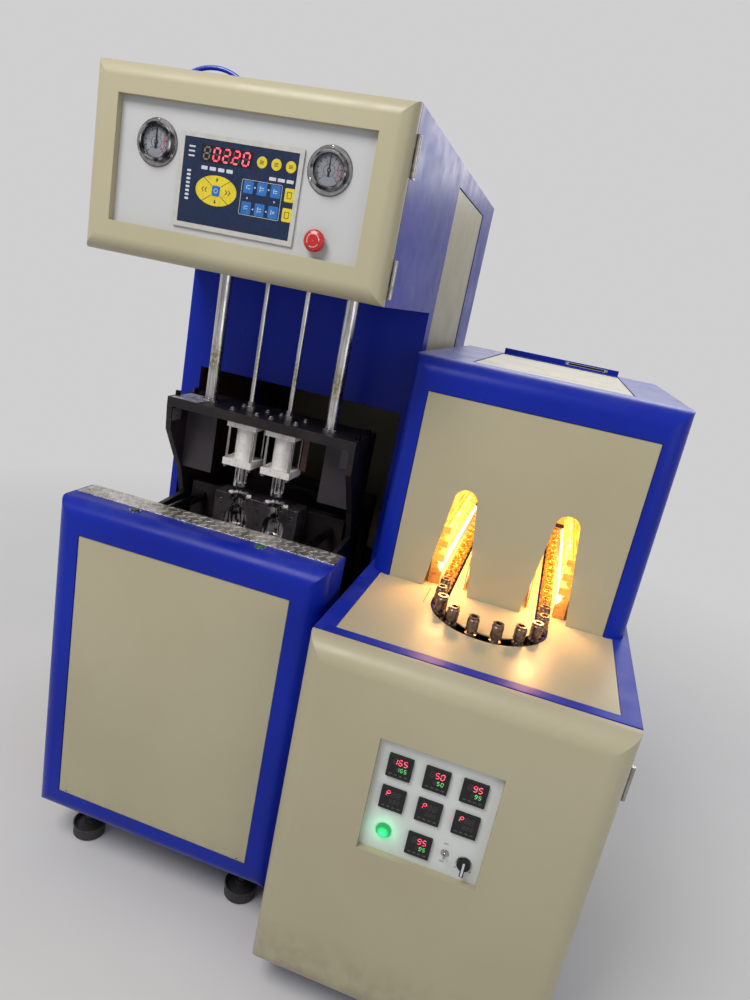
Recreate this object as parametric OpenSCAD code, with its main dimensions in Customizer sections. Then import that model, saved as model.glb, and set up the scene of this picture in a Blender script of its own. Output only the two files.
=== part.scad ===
// Two-station bottle blow moulding machine: a stretch blower and its infra-red preform heater.
// Millimetres, +Z up, +Y to the back. The origin is on the floor, under the middle of the pair.

/* [Layout] */
// Clear gap between the blower and the heater
unit_gap = 20; // [10:5:200]
// How far the heater's door stands ahead of the blower's front
heater_ahead = 136; // [0:4:300]

/* [Blower cabinet] */
// Width of the blower over its side walls
blower_w = 640; // [600:10:760]
// Depth of the blower from front frame to back
blower_d = 1172; // [1100:10:1500]
// Height of the cabinet's underside over the floor
cabinet_bottom = 125; // [100:5:180]
// Height of the front box's top
cabinet_top = 940; // [920:5:1000]
// Height of the roof
roof_z = 1820; // [1780:10:1960]
// Radius of the rounded front edges
edge_r = 38; // [20:2:45]
// Depth of the welded frame behind the covers
frame_t = 20; // [16:1:26]
// Depth of the front box that carries the tread plate
front_box_d = 130; // [125:1:150]
// Height of the side walls beside the mould bay
bay_side_z = 780; // [700:10:860]
// Distance from the front to the column
column_front = 484; // [476:2:520]
// Height of the top edge of the column's bay
bay_head_z = 1217; // [1190:5:1300]
// Distance from the middle to the left edge of the column's bay
bay_left = 268; // [264:1:280]
// Thickness of the cream cover panels
panel_t = 3; // [2:0.5:4]
// Gap round each cover panel
panel_gap = 1.5; // [1:0.25:2.5]
// How far each cover panel lies below its frame
panel_sink = 2; // [1:0.5:3]
// Width of the lip that each cover panel rests on
panel_lip = 10; // [6:1:14]
// Side margin of the front cover panel
front_margin = 66; // [50:2:90]
// Bottom margin of the front cover panel
front_bottom_margin = 62; // [50:2:90]
// Top margin of the front cover panel
front_top_margin = 73; // [60:1:100]
// Front margin of the column's side cover
column_margin = 54; // [40:2:80]
// Back margin of the column's side cover
column_back_margin = 190; // [120:10:240]

/* [Head] */
// Distance from the cabinet's front to the head box
head_front = 60; // [50:2:80]
// Height of the head box's underside
head_z = 1472; // [1440:2:1500]
// Sheet thickness of the head box
head_sheet = 4; // [3:0.5:6]
// Depth of the cream door's rounded frame
head_door_d = 32; // [26:1:40]
// Width of the door's border round its opening
head_border = 60; // [50:2:70]
// Gap between the door and the box
head_door_gap = 2.2; // [2:0.2:3]
// Depth of the white panel behind the door's front
head_panel_sink = 15; // [10:1:18]
// Distance of each pressure gauge from the middle
gauge_x = 177; // [170:1:185]
// Height of the gauges
gauge_z = 1686; // [1670:1:1700]
// Radius of a gauge's flange
gauge_flange_r = 43.5; // [40:0.5:46]
// Radius of a gauge's dial
gauge_dial_r = 29; // [26:0.5:30]
// Width of the keypad's frame
keypad_w = 252; // [240:2:256]
// Height of the keypad's frame
keypad_h = 170; // [150:2:176]
// Height of the keypad's middle
keypad_z = 1630; // [1626:1:1640]
// Distance of the stop button from the right edge of the door's opening
stop_inset = 87; // [76:1:94]
// Height of the stop button
stop_z = 1563; // [1558:1:1575]
// Radius of the stop button's mushroom head
stop_r = 20; // [18:0.5:24]

/* [Stretch unit] */
// Distance of each blow nozzle from the middle
nozzle_x = 52; // [48:1:60]
// Distance from the cabinet's front to the nozzle axes
nozzle_y = 360; // [350:1:370]
// Distance of each guide post from the middle
post_x = 163; // [150:1:175]
// Radius of a guide post
post_r = 15; // [12:0.5:18]
// Radius of a stretch rod
stretch_r = 6; // [4:0.25:7]
// Stroke of the stretch rods
stretch_stroke = 210; // [150:5:220]
// Half width of the crosshead plate
crosshead_half = 250; // [244:1:258]
// Height of the crosshead plate's underside
crosshead_z = 1131; // [1110:1:1150]
// Thickness of the crosshead plate
crosshead_t = 24; // [18:1:30]
// Distance from the cabinet's front to the crosshead plate
crosshead_front = 300; // [290:2:316]
// Thickness of a cheek plate
cheek_t = 14; // [10:1:18]
// Width of a seal cylinder's end caps
seal_cap = 78; // [70:1:84]
// Height of a seal cylinder over both caps
seal_h = 115; // [100:1:124]
// Thickness of a seal cylinder's end cap
seal_cap_t = 17; // [12:0.5:20]
// Radius of a seal cylinder's barrel
seal_barrel_r = 25; // [20:0.5:30]
// Height of the nozzle tips at rest
nozzle_tip_z = 959; // [950:1:975]
// Running clearance between a rod and its bush
running_fit = 0.05; // [0.02:0.01:0.1]

/* [Mould clamp] */
// Height of the mould's top
mould_top = 930; // [900:1:932]
// Height of the mould
mould_h = 240; // [230:2:260]
// Width of the mould
mould_w = 232; // [220:2:250]
// Depth of each mould half
mould_half_d = 70; // [60:1:76]
// Radius of a bottle cavity
bottle_r = 32; // [26:0.5:36]
// Length of a bottle cavity
bottle_h = 206; // [180:2:214]
// Radius of the bottle's neck bore
neck_r = 13; // [11:0.5:14]
// Stroke of the moving mould half
clamp_stroke = 208; // [180:2:210]
// Thickness of the moving platen
platen_t = 26; // [20:1:30]
// Half width of both platens
platen_half = 222; // [214:1:228]
// Distance of the tie bars from the middle
tie_x = 186; // [176:1:196]
// Radius of a tie bar
tie_r = 12; // [10:0.5:15]
// Radius of the clamp cylinder
clamp_r = 80; // [60:1:90]
// Height of the machine bed's top
bed_z = 640; // [620:2:650]
// Thickness of the machine bed
bed_t = 30; // [20:1:36]

/* [Heater cabinet] */
// Width of the heater's cabinet
heater_w = 612; // [580:4:680]
// Depth of the heater
heater_d = 1236; // [1210:2:1300]
// Height of the table
table_z = 875; // [850:5:900]
// Height of the heater's underside
heater_bottom = 84; // [80:1:140]
// Depth of the heater's door
heater_door_d = 44; // [36:1:50]
// Radius of the door's rounded edge
heater_door_r = 42; // [30:1:44]
// Width of the control recess
recess_w = 236; // [230:1:260]
// Height of the control recess
recess_h = 250; // [244:1:262]
// Left edge of the control recess
recess_x = 178; // [150:1:200]
// Bottom edge of the control recess
recess_z = 471; // [420:1:520]
// Depth of the control recess
recess_d = 15; // [12:0.5:20]
// Spacing of the temperature controllers
controller_pitch = 71.5; // [66:0.5:74]
// Side of a temperature controller's face
controller_w = 48; // [44:0.5:50]

/* [Oven] */
// Width of the oven
oven_w = 590; // [560:2:600]
// Distance from the door's front to the oven
oven_front = 396; // [380:2:420]
// Height of the oven's roof
oven_top = 1390; // [1340:5:1480]
// Radius of the oven's rounded edges
oven_r = 42; // [30:1:44]
// Side margin of the oven's front panel
oven_margin = 46; // [44:1:60]
// Top margin of the oven's front panel
oven_head_margin = 74; // [60:1:100]
// Width of the cover in the oven's roof
roof_cover_w = 360; // [300:10:420]
// Height of the upstand behind the roof covers
upstand_h = 16; // [13:1:30]
// Length of the grip's slot in the upstand
grip_w = 118; // [90:2:150]
// Half width of a tunnel's mouth at the table
mouth_half = 52; // [46:1:56]
// Radius of a tunnel's rounded head
mouth_r = 26; // [20:1:30]
// Height of a tunnel's mouth over the table
mouth_h = 245; // [200:5:280]
// Number of lamps in each tunnel
lamp_count = 4; // [2:1:5]
// Spacing of the lamps
lamp_pitch = 35; // [34:1:44]
// Length of a lamp between its holders
lamp_len = 640; // [500:10:680]
// Radius of a lamp's tube
lamp_r = 5; // [4:0.5:6]
// Pitch of the preform chain
chain_pitch = 25.4; // [25:0.1:26]
// Room between the chain's loop and the back wall
loop_room = 60; // [50:5:120]
// Half width of the chain's groove in the table
groove_half = 16; // [15:0.5:18]

/* [Small parts] */
// Radius of a foot's rubber pad
foot_r = 40; // [30:1:45]
// Inset of the feet from the side walls
foot_inset = 98; // [60:2:120]
// Radius of the hinge knuckles
knuckle_r = 4.5; // [3.5:0.25:6]
// Length of a hinge
hinge_h = 70; // [60:2:80]
// Travel of the start buttons
start_travel = 3; // [1:0.5:4]
// Distance of the start buttons from the middle
start_x = 152; // [120:2:200]
// Radius of the air hose on the roof
hose_r = 4.5; // [4:0.5:6]
// Radius of the air hose's arc
hose_bend = 110; // [80:5:130]

/* [Hidden] */
$fn = 48;

// Colours as the photograph shows them
blue = [0.13, 0.19, 0.66];
cream = [0.68, 0.66, 0.52];
white = [0.82, 0.83, 0.84];
black = [0.07, 0.07, 0.08];
steel = [0.62, 0.63, 0.65];
chrome = [0.82, 0.83, 0.85];
dark_steel = [0.20, 0.20, 0.22];
red = [0.78, 0.10, 0.08];
green = [0.10, 0.62, 0.36];
rubber = [0.12, 0.12, 0.12];
glow = [1.0, 0.62, 0.22];

// Slack that keeps a cut clear of the face it starts from
cut = 1;
// Gap that keeps two moving pieces clear of each other
clear_gap = 0.3;

// Places of both machines under one origin
overall_w = blower_w + unit_gap + heater_w + 2 * knuckle_r + clear_gap;
overall_d = max(heater_ahead + blower_d, heater_d);
blower_x = -overall_w / 2 + blower_w / 2;
blower_y = -overall_d / 2 + heater_ahead;
heater_x = -overall_w / 2 + blower_w + unit_gap;
heater_y = -overall_d / 2;

// Derived heights and depths of the blower
door_front = head_front - head_door_gap - head_door_d;
panel_front = door_front + head_panel_sink;
head_panel_t = 3;
opening_half = blower_w / 2 - head_border;
stop_x = opening_half - stop_inset;
opening_low = head_z + head_border;
opening_high = roof_z - head_border;
crosshead_top = crosshead_z + crosshead_t;
crosshead_back = column_front - 8;
stretch_plate_z = head_z + 28;
stretch_plate_t = 24;
post_plate_t = 16;
post_top_z = roof_z - post_plate_t - 30;
neck_ring_top = mould_top + 3;
mould_bottom = mould_top - mould_h;
parting_y = nozzle_y;
fixed_platen_y = parting_y + mould_half_d;
fixed_platen_t = 34;
moving_platen_y = parting_y - mould_half_d - platen_t;
clamp_axis_z = (mould_top + mould_bottom) / 2;
clamp_body_y = fixed_platen_y + fixed_platen_t;
clamp_body_l = clamp_stroke + 30;
yoke_t = 32;
yoke_gap = 12;
rod_grip = 8;
yoke_y = clamp_body_y + clamp_body_l + yoke_gap;
tie_z = [mould_bottom + 22, mould_top - 50];
nozzle_head_h = 10;
nozzle_rod_r = 9;
nozzle_top = nozzle_tip_z + 145;
seal_bottom = crosshead_z - seal_h;

// Derived places of the heater
oven_d = heater_d - oven_front;
heater_mid = heater_w / 2;
wheel_links = 28;
tunnel_x = chain_pitch / (2 * sin(180 / wheel_links));
loop_front = oven_front - 68;
// Each straight run takes as many pairs of links as the heater's depth leaves room for
straight_room = heater_d - frame_t - loop_room - tunnel_x - loop_front;
straight_links = 2 * floor(straight_room / (2 * chain_pitch));
straight = straight_links * chain_pitch;
link_count = wheel_links + 2 * straight_links;
loop_back = loop_front + straight;
table_t = 3;
table_margin = 36;
table_front = heater_door_d + 26;
upstand_t = 6;
grip_x = roof_cover_w / 2 - 40 - grip_w;
lamp_side = 27;
lamp_y = oven_front + 40;
lamp_z0 = table_z + 30;
deck_top = table_z - 38;
deck_t = 8;

module at_blower() {
    translate([blower_x, blower_y, 0]) children();
}

module at_heater() {
    translate([heater_x, heater_y, 0]) children();
}

// Runs a shape along X: its own X becomes depth and its own Y becomes height
module along_x(length) {
    rotate([90, 0, 90]) translate([0, 0, -length / 2]) linear_extrude(length) children();
}

// Turns a shape that stands up along Z so that it points to the front
module facing_front() {
    rotate([90, 0, 0]) children();
}

// Plan of a box whose two front corners are rounded
module front_rounded_plan(width, depth, radius) {
    translate([-width / 2, radius]) square([width, depth - radius]);
    intersection() {
        translate([-width / 2, 0]) square([width, depth]);
        union() {
            translate([-width / 2 + radius, 0]) square([width - 2 * radius, depth]);
            for (side = [-1, 1]) translate([side * (width / 2 - radius), radius]) circle(radius);
        }
    }
}

// Side profile of a box whose front edges are rounded at the top and the foot
module front_rounded_side(low, high, depth, radius, foot_radius) {
    translate([radius, low]) square([depth - radius, high - low]);
    intersection() {
        translate([0, low]) square([depth, high - low]);
        union() {
            translate([0, low + foot_radius]) square([depth, high - low - radius - foot_radius]);
            translate([foot_radius, low]) square([depth - foot_radius, foot_radius]);
            translate([radius, high - radius]) circle(radius);
            translate([foot_radius, low + foot_radius]) circle(foot_radius);
        }
    }
}

// A box with rounded front edges that meet in mitres, from its front face at y = 0
module mitred_box(width, depth, low, high, radius) {
    intersection() {
        translate([0, 0, low]) linear_extrude(high - low) front_rounded_plan(width, depth, radius);
        along_x(width) front_rounded_side(low, high, depth, radius, radius);
    }
}

// A block given by its lowest and highest corners
module block(a, b) {
    translate(a) cube([b[0] - a[0], b[1] - a[1], b[2] - a[2]]);
}

// A flat plate with rounded corners, standing up and facing the front
module front_plate(width, height, thick, radius) {
    facing_front() linear_extrude(thick) {
        square([width - 2 * radius, height], center = true);
        square([width, height - 2 * radius], center = true);
        for (i = [-1, 1], j = [-1, 1])
            translate([i * (width / 2 - radius), j * (height / 2 - radius)]) circle(radius);
    }
}

// Pocket and lip for a cover in both side walls of a cabinet that is centred on x = 0
module side_pockets(width, y0, y1, z0, z1) {
    depth = panel_t + panel_sink;
    for (side = [-1, 1]) {
        x = side * width / 2;
        block([min(x, x - side * depth) - (side < 0 ? cut : 0), y0, z0],
              [max(x, x - side * depth) + (side > 0 ? cut : 0), y1, z1]);
        block([min(x, x - side * (frame_t + cut)), y0 + panel_lip, z0 + panel_lip],
              [max(x, x - side * (frame_t + cut)), y1 - panel_lip, z1 - panel_lip]);
    }
}

// Two side covers seated on the lips of side_pockets
module side_covers(width, y0, y1, z0, z1) {
    for (side = [-1, 1]) {
        x = side * (width / 2 - panel_sink);
        block([min(x, x - side * panel_t), y0 + panel_gap, z0 + panel_gap],
              [max(x, x - side * panel_t), y1 - panel_gap, z1 - panel_gap]);
    }
}

column_cover = [column_front + column_margin, blower_d - column_back_margin, bay_side_z + 120, roof_z - 50];
lower_cover = [edge_r + 40, blower_d - 60, cabinet_bottom + 50, bay_side_z - 60];
back_low = cabinet_bottom + 60;
back_high = roof_z - 60;
back_half = blower_w / 2 - 60;

// Side profile of the blower: front box, low walls beside the bay, and the column
module blower_profile() {
    front_rounded_side(cabinet_bottom, cabinet_top, front_box_d, edge_r, edge_r);
    translate([edge_r, cabinet_bottom]) square([blower_d - edge_r, bay_side_z - cabinet_bottom]);
    translate([column_front, cabinet_bottom]) square([blower_d - column_front, roof_z - cabinet_bottom]);
}

// Front cover opening as [low corner, high corner] in x and z
front_low = cabinet_bottom + front_bottom_margin;
front_high = cabinet_top - front_top_margin;
front_half = blower_w / 2 - front_margin;

module blower_cabinet() {
    inner = blower_w / 2 - frame_t;
    ledge = inner - 30;
    shelf = 4;
    color(blue) at_blower() difference() {
        intersection() {
            translate([0, 0, cabinet_bottom])
                linear_extrude(roof_z - cabinet_bottom) front_rounded_plan(blower_w, blower_d, edge_r);
            along_x(blower_w) blower_profile();
        }
        // The room under the machine bed, narrower so that the bed rests on its step
        block([-ledge, edge_r, cabinet_bottom + frame_t],
              [ledge, blower_d - frame_t, bed_z - bed_t + cut]);
        // The mould bay and the front box, open at the top behind the tread plate's shelf
        block([-inner, edge_r, bed_z - bed_t], [inner, blower_d - frame_t, cabinet_top - shelf]);
        block([-inner, front_box_d, bed_z], [inner, column_front, cabinet_top + cut]);
        // The column's inside and its bay
        block([-inner, column_front + frame_t, bed_z], [inner, blower_d - frame_t, roof_z - frame_t]);
        block([-bay_left, column_front - cut, bed_z], [inner, column_front + frame_t + cut, bay_head_z]);
        // Cable window between the column and the head
        block([-inner + 60, column_front - cut, head_z + 60],
              [inner - 60, column_front + frame_t + cut, roof_z - 60]);
        // Front cover pocket and lip
        block([-front_half, -cut, front_low], [front_half, panel_t + panel_sink, front_high]);
        block([-front_half + panel_lip, 0, front_low + panel_lip],
              [front_half - panel_lip, edge_r + cut, front_high - panel_lip]);
        side_pockets(blower_w, column_cover[0], column_cover[1], column_cover[2], column_cover[3]);
        side_pockets(blower_w, lower_cover[0], lower_cover[1], lower_cover[2], lower_cover[3]);
        // Back cover pocket and lip
        block([-back_half, blower_d - panel_t - panel_sink, back_low],
              [back_half, blower_d + cut, back_high]);
        block([-back_half + panel_lip, blower_d - frame_t - cut, back_low + panel_lip],
              [back_half - panel_lip, blower_d, back_high - panel_lip]);
        // Bores for the start buttons
        for (side = [-1, 1]) translate([side * start_x, start_y, cabinet_top - shelf - cut])
            cylinder(h = shelf + 2 * cut, r = start_r + 1);
    }
}

module blower_covers() {
    screw_r = 2.5;
    slot_w = 90;
    slot_h = 6;
    color(cream) at_blower() {
        difference() {
            block([-front_half + panel_gap, panel_sink, front_low + panel_gap],
                  [front_half - panel_gap, panel_sink + panel_t, front_high - panel_gap]);
            for (side = [-1, 1]) translate([side * (front_half - 22), panel_sink - cut, front_low + 5.5])
                rotate([-90, 0, 0]) cylinder(h = panel_t + 2 * cut, r = screw_r, $fn = 24);
        }
        side_covers(blower_w, column_cover[0], column_cover[1], column_cover[2], column_cover[3]);
        side_covers(blower_w, lower_cover[0], lower_cover[1], lower_cover[2], lower_cover[3]);
        // Back cover with two banks of air slots
        difference() {
            block([-back_half + panel_gap, blower_d - panel_sink - panel_t, back_low + panel_gap],
                  [back_half - panel_gap, blower_d - panel_sink, back_high - panel_gap]);
            for (i = [-1, 1], j = [0:5])
                translate([i * slot_w, blower_d - panel_sink - panel_t / 2, back_low + 200 + j * 20])
                    cube([slot_w, 2 * panel_t, slot_h], center = true);
        }
    }
}

// Tread plate with short raised bars that turn by a quarter from one to the next
tread_front = 66;
tread_back = front_box_d - 1;
tread_t = 2;
module tread_plate() {
    bar = [16, 3.4, 0.9];
    step_x = 21;
    step_y = 15;
    rows = 4;
    length = blower_w - 12;
    count = floor(length / step_x);
    color(steel) at_blower() {
        block([-length / 2, tread_front, cabinet_top], [length / 2, tread_back, cabinet_top + tread_t]);
        for (i = [0:count - 1], j = [0:rows - 1])
            translate([(i - (count - 1) / 2) * step_x, tread_front + 9 + j * step_y,
                       cabinet_top + tread_t + bar[2] / 3])
                rotate([0, 0, (i + j) % 2 == 0 ? 45 : -45]) cube(bar, center = true);
    }
}

start_r = 10;
start_y = edge_r + 13;
module start_button_rings() {
    depth = 22;
    color(steel) at_blower() for (side = [-1, 1])
        translate([side * start_x, start_y, cabinet_top]) difference() {
        union() {
            cylinder(h = 1.5, r = start_r + 3);
            translate([0, 0, -depth]) cylinder(h = depth + 0.5, r = start_r + 0.9);
        }
        translate([0, 0, 2 - depth]) cylinder(h = depth + 4, r = start_r - 0.6 + clear_gap);
    }
}

module start_button() {
    skirt = start_r - 0.6;
    low = start_travel - 19.7;
    translate([0, start_y, cabinet_top]) rotate_extrude()
        polygon([[0, low], [skirt, low], [skirt, 3.4], [skirt - 0.8, 4.2], [0, 4.4]]);
}

module start_button_left() {
    color(cream) at_blower() translate([-start_x, 0, 0]) start_button();
}

module start_button_right() {
    color(green) at_blower() translate([start_x, 0, 0]) start_button();
}

// Levelling foot: rubber pad, pressed cup with a rolled rim, nut and stem
module foot(height) {
    pad_h = 30;
    rotate_extrude() polygon([[0, 0], [foot_r - 3, 0], [foot_r, 3], [foot_r, pad_h], [foot_r + 1.5, pad_h],
        [foot_r + 1.5, pad_h + 4], [foot_r - 2, pad_h + 4], [foot_r - 6, pad_h - 4], [16, pad_h + 2],
        [16, pad_h + 14], [10, pad_h + 14], [10, height], [0, height]]);
}

module feet(x0, x1, y0, y1, height) {
    for (x = [x0, x1], y = [y0, y1]) translate([x, y, 0]) foot(height);
}

module levelling_feet() {
    side = blower_w / 2 - foot_inset;
    color(rubber) {
        at_blower() feet(-side, side, foot_inset, blower_d - foot_inset, cabinet_bottom);
        at_heater() feet(foot_inset - 20, heater_w - foot_inset + 20, foot_inset + heater_door_d,
                         heater_d - foot_inset, heater_bottom);
    }
}

module machine_bed() {
    half = blower_w / 2 - frame_t - 2;
    rail_h = mould_bottom - 14 - bed_z;
    rail_x = mould_w / 2 + 4;
    color(dark_steel) at_blower() {
        block([-half, edge_r + 4, bed_z - bed_t], [half, blower_d - 140, bed_z]);
        for (side = [-1, 1])
            block([side * rail_x - 15, edge_r + 6, bed_z],
                  [side * rail_x + 15, parting_y - mould_half_d, bed_z + rail_h]);
    }
}

module head_box() {
    half = blower_w / 2;
    slot_half = post_x + post_r + 26;
    color(blue) at_blower() difference() {
        block([-half, head_front, head_z], [half, column_front, roof_z]);
        block([-half + head_sheet, head_front - cut, head_z + head_sheet],
              [half - head_sheet, column_front - head_sheet, roof_z - head_sheet]);
        // Floor slot for the posts and the stretch plate
        block([-slot_half, nozzle_y - 34, head_z - cut],
              [slot_half, nozzle_y + 34, head_z + head_sheet + cut]);
        // Cable window that matches the column's
        block([-half + frame_t + 60, column_front - head_sheet - cut, head_z + 60],
              [half - frame_t - 60, column_front + cut, roof_z - 60]);
        for (side = [-1, 1]) translate([hose_mid + side * fitting_x, hose_y, roof_z - head_sheet - cut])
            cylinder(h = head_sheet + 2 * cut, r = fitting_r);
    }
}

module head_door() {
    width = 2 * opening_half;
    rebate = 12;
    color(cream) at_blower() difference() {
        translate([0, door_front, 0]) mitred_box(blower_w, head_door_d, head_z, roof_z, head_door_d - 2);
        block([-opening_half, door_front - cut, opening_low], [opening_half, head_front, opening_high]);
        // Rebate that takes the white panel from behind
        block([-opening_half - rebate, panel_front, opening_low - rebate],
              [opening_half + rebate, head_front, opening_high + rebate]);
    }
}

module head_panel() {
    grow = 11;
    color(white) at_blower() difference() {
        block([-opening_half - grow, panel_front, opening_low - grow],
              [opening_half + grow, panel_front + head_panel_t, opening_high + grow]);
        for (side = [-1, 1]) translate([side * gauge_x, panel_front - cut, gauge_z])
            rotate([-90, 0, 0]) cylinder(h = head_panel_t + 2 * cut, r = gauge_dial_r + 3);
        translate([stop_x, panel_front - cut, stop_z])
            rotate([-90, 0, 0]) cylinder(h = head_panel_t + 2 * cut, r = 11.2);
    }
}

keypad_frame_t = 4;
module keypad_frame() {
    border = 9;
    color([0.70, 0.70, 0.68]) at_blower() translate([0, panel_front, keypad_z]) difference() {
        front_plate(keypad_w, keypad_h, keypad_frame_t, 3);
        translate([0, -1.5, 0]) front_plate(keypad_w - 2 * border, keypad_h - 2 * border, keypad_frame_t, 1);
    }
}

module keypad_face() {
    border = 9.5;
    color([0.09, 0.11, 0.22]) at_blower() translate([0, panel_front - 1.5, keypad_z])
        front_plate(keypad_w - 2 * border, keypad_h - 2 * border, 1.5, 1);
}

// Pressure gauge: wide flange with three lugs, raised bezel and the can behind the panel
module gauge_case() {
    ring = gauge_dial_r + 6;
    facing_front() difference() {
        rotate_extrude() polygon([[0, -34], [gauge_dial_r + 2.5, -34], [gauge_dial_r + 2.5, 0],
            [gauge_flange_r, 0], [gauge_flange_r, 1.4], [gauge_flange_r - 1, 2.2], [ring, 2.2], [ring, 11],
            [ring - 2, 13], [gauge_dial_r + 1, 13], [gauge_dial_r, 12], [gauge_dial_r, 2], [0, 2]]);
        for (a = [90, 210, 330]) rotate([0, 0, a]) translate([gauge_flange_r - 4, 0, -cut])
            cylinder(h = 6, r = 1.8, $fn = 24);
    }
}

module gauge_cases() {
    color(chrome) at_blower() for (side = [-1, 1])
        translate([side * gauge_x, panel_front, gauge_z]) gauge_case();
}

needle_pin_r = 1.6;
module gauge_dials() {
    color(white) at_blower() for (side = [-1, 1]) translate([side * gauge_x, panel_front - 2, gauge_z])
        facing_front() {
            cylinder(h = 2, r = gauge_dial_r - 0.2);
            cylinder(h = 6, r = needle_pin_r, $fn = 24);
        }
}

module gauge_lenses() {
    color([0.9, 0.95, 1, 0.35]) at_blower() for (side = [-1, 1])
        translate([side * gauge_x, panel_front - 10, gauge_z]) facing_front()
            cylinder(h = 1.6, r = gauge_dial_r - 0.2);
}

module gauge_needle() {
    translate([0, panel_front - 5, gauge_z]) facing_front() difference() {
        union() {
            cylinder(h = 1, r = 4);
            linear_extrude(1) polygon([[-2.2, -11], [2.2, -11], [1.6, 0], [0.4, 23], [-0.4, 23], [-1.6, 0]]);
        }
        translate([0, 0, -cut]) cylinder(h = 3, r = needle_pin_r + running_fit, $fn = 24);
    }
}

module gauge_needle_left() {
    color(black) at_blower() translate([-gauge_x, 0, 0]) gauge_needle();
}

module gauge_needle_right() {
    color(black) at_blower() translate([gauge_x, 0, 0]) gauge_needle();
}

stop_travel = 4;
module stop_button_body() {
    color(black) at_blower() translate([stop_x, panel_front, stop_z]) facing_front() difference() {
        union() {
            cylinder(h = 5, r = 15);
            translate([0, 0, -40]) cylinder(h = 40.5, r = 11);
            translate([0, 0, -44]) cylinder(h = 36, r = 16);
        }
        translate([0, 0, -30]) cylinder(h = 60, r = 8 + clear_gap);
    }
}

module stop_button() {
    base = 5 + clear_gap + stop_travel;
    color(red) at_blower() translate([stop_x, panel_front, stop_z]) facing_front()
        rotate_extrude() polygon([[0, base - 30], [8, base - 30], [8, base], [stop_r - 2, base],
            [stop_r, base + 2], [stop_r, base + 6], [stop_r - 3, base + 9.5], [stop_r - 9, base + 11.5],
            [0, base + 12]]);
}

// Hinges of both doors: their axes stand just outside the right side
hinge_leaf_t = 1.6;
hinge_pin_r = 2;
hinge_third = hinge_h / 3;
hinge_out = knuckle_r + clear_gap;
hinge_leaf_w = 26;
head_hinges = [roof_z - 85, head_z + 50];
heater_hinges = [table_z - 110, heater_bottom + 110];
heater_door_gap = 2.2;
heater_hinge_y = heater_door_d + heater_door_gap;

// Fixed leaf on the side wall with the middle knuckle and the pin, from the hinge's axis
module fixed_leaf() {
    difference() {
        block([-hinge_out, knuckle_r + 0.5, -hinge_h / 2],
              [hinge_leaf_t - hinge_out, knuckle_r + hinge_leaf_w, hinge_h / 2]);
        for (side = [-1, 1]) translate([-hinge_out - cut, knuckle_r + 14, side * 20])
            rotate([0, 90, 0]) cylinder(h = 5, r = 2.6, $fn = 24);
    }
    block([-hinge_out, 0, -hinge_third / 2], [hinge_leaf_t - hinge_out, knuckle_r + 2, hinge_third / 2]);
    translate([0, 0, -hinge_third / 2]) cylinder(h = hinge_third, r = knuckle_r);
    translate([0, 0, -hinge_h / 2]) cylinder(h = hinge_h, r = hinge_pin_r, $fn = 24);
}

// Door leaf behind the door's back with the two outer knuckles
module door_leaf(gap) {
    for (side = [-1, 1]) difference() {
        z = side * (hinge_third + clear_gap);
        union() {
            block([-hinge_leaf_w, -gap, z - hinge_third / 2], [0, hinge_leaf_t - gap, z + hinge_third / 2]);
            translate([0, 0, z - hinge_third / 2]) cylinder(h = hinge_third, r = knuckle_r);
        }
        translate([0, 0, z - hinge_third])
            cylinder(h = 2 * hinge_third, r = hinge_pin_r + running_fit, $fn = 24);
    }
}

module fixed_hinge_leaves() {
    color(chrome) {
        at_blower() for (z = head_hinges) translate([blower_w / 2 + hinge_out, head_front, z]) fixed_leaf();
        at_heater() for (z = heater_hinges)
            translate([heater_w + hinge_out, heater_hinge_y, z]) fixed_leaf();
    }
}

module head_door_leaves() {
    color(chrome) at_blower() for (z = head_hinges)
        translate([blower_w / 2 + hinge_out, head_front, z]) door_leaf(head_door_gap);
}

module heater_door_leaves() {
    color(chrome) at_heater() for (z = heater_hinges)
        translate([heater_w + hinge_out, heater_hinge_y, z]) door_leaf(heater_door_gap);
}

hose_mid = -140;
hose_y = head_front + 100;
hose_slope = 30;
outlet_l = 12;
fitting_x = hose_bend * sin(hose_slope) + outlet_l * cos(hose_slope);
fitting_r = 7;
fitting_h = 21;
// Air hose on the roof: a flat arc that leaves both of its elbow fittings at the same slope
module roof_air_hose() {
    color(blue) at_blower()
        translate([hose_mid, hose_y, roof_z + fitting_h - hose_bend * cos(hose_slope)])
            facing_front() rotate([0, 0, 90 - hose_slope]) rotate_extrude(angle = 2 * hose_slope)
                translate([hose_bend, 0]) circle(hose_r, $fn = 24);
}

module roof_fittings() {
    color(steel) at_blower() for (side = [-1, 1])
        translate([hose_mid + side * fitting_x, hose_y, roof_z]) mirror([side > 0 ? 0 : 1, 0, 0]) {
            rotate_extrude() polygon([[0, -16], [fitting_r - 0.2, -16], [fitting_r - 0.2, 0],
                [fitting_r + 4, 0], [fitting_r + 4, 6], [fitting_r + 1, 7], [fitting_r + 1, fitting_h],
                [fitting_r - 1, fitting_h + 2], [0, fitting_h + 2]]);
            // Outlet that points along the hose's end
            translate([0, 0, fitting_h - outlet_l * sin(hose_slope)]) rotate([0, hose_slope - 90, 0])
                cylinder(h = outlet_l, r = hose_r + 1.5, $fn = 24);
        }
}

module guide_posts() {
    color(chrome) at_blower() for (side = [-1, 1]) translate([side * post_x, nozzle_y, crosshead_top])
        cylinder(h = post_top_z - crosshead_top, r = post_r);
}

stretch_body_r = 27;
stretch_piston_r = 8;
clamp_rod_r = 20;
stretch_plate_top = stretch_plate_z + stretch_plate_t;
stretch_body_low = stretch_plate_top + 14;
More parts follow.
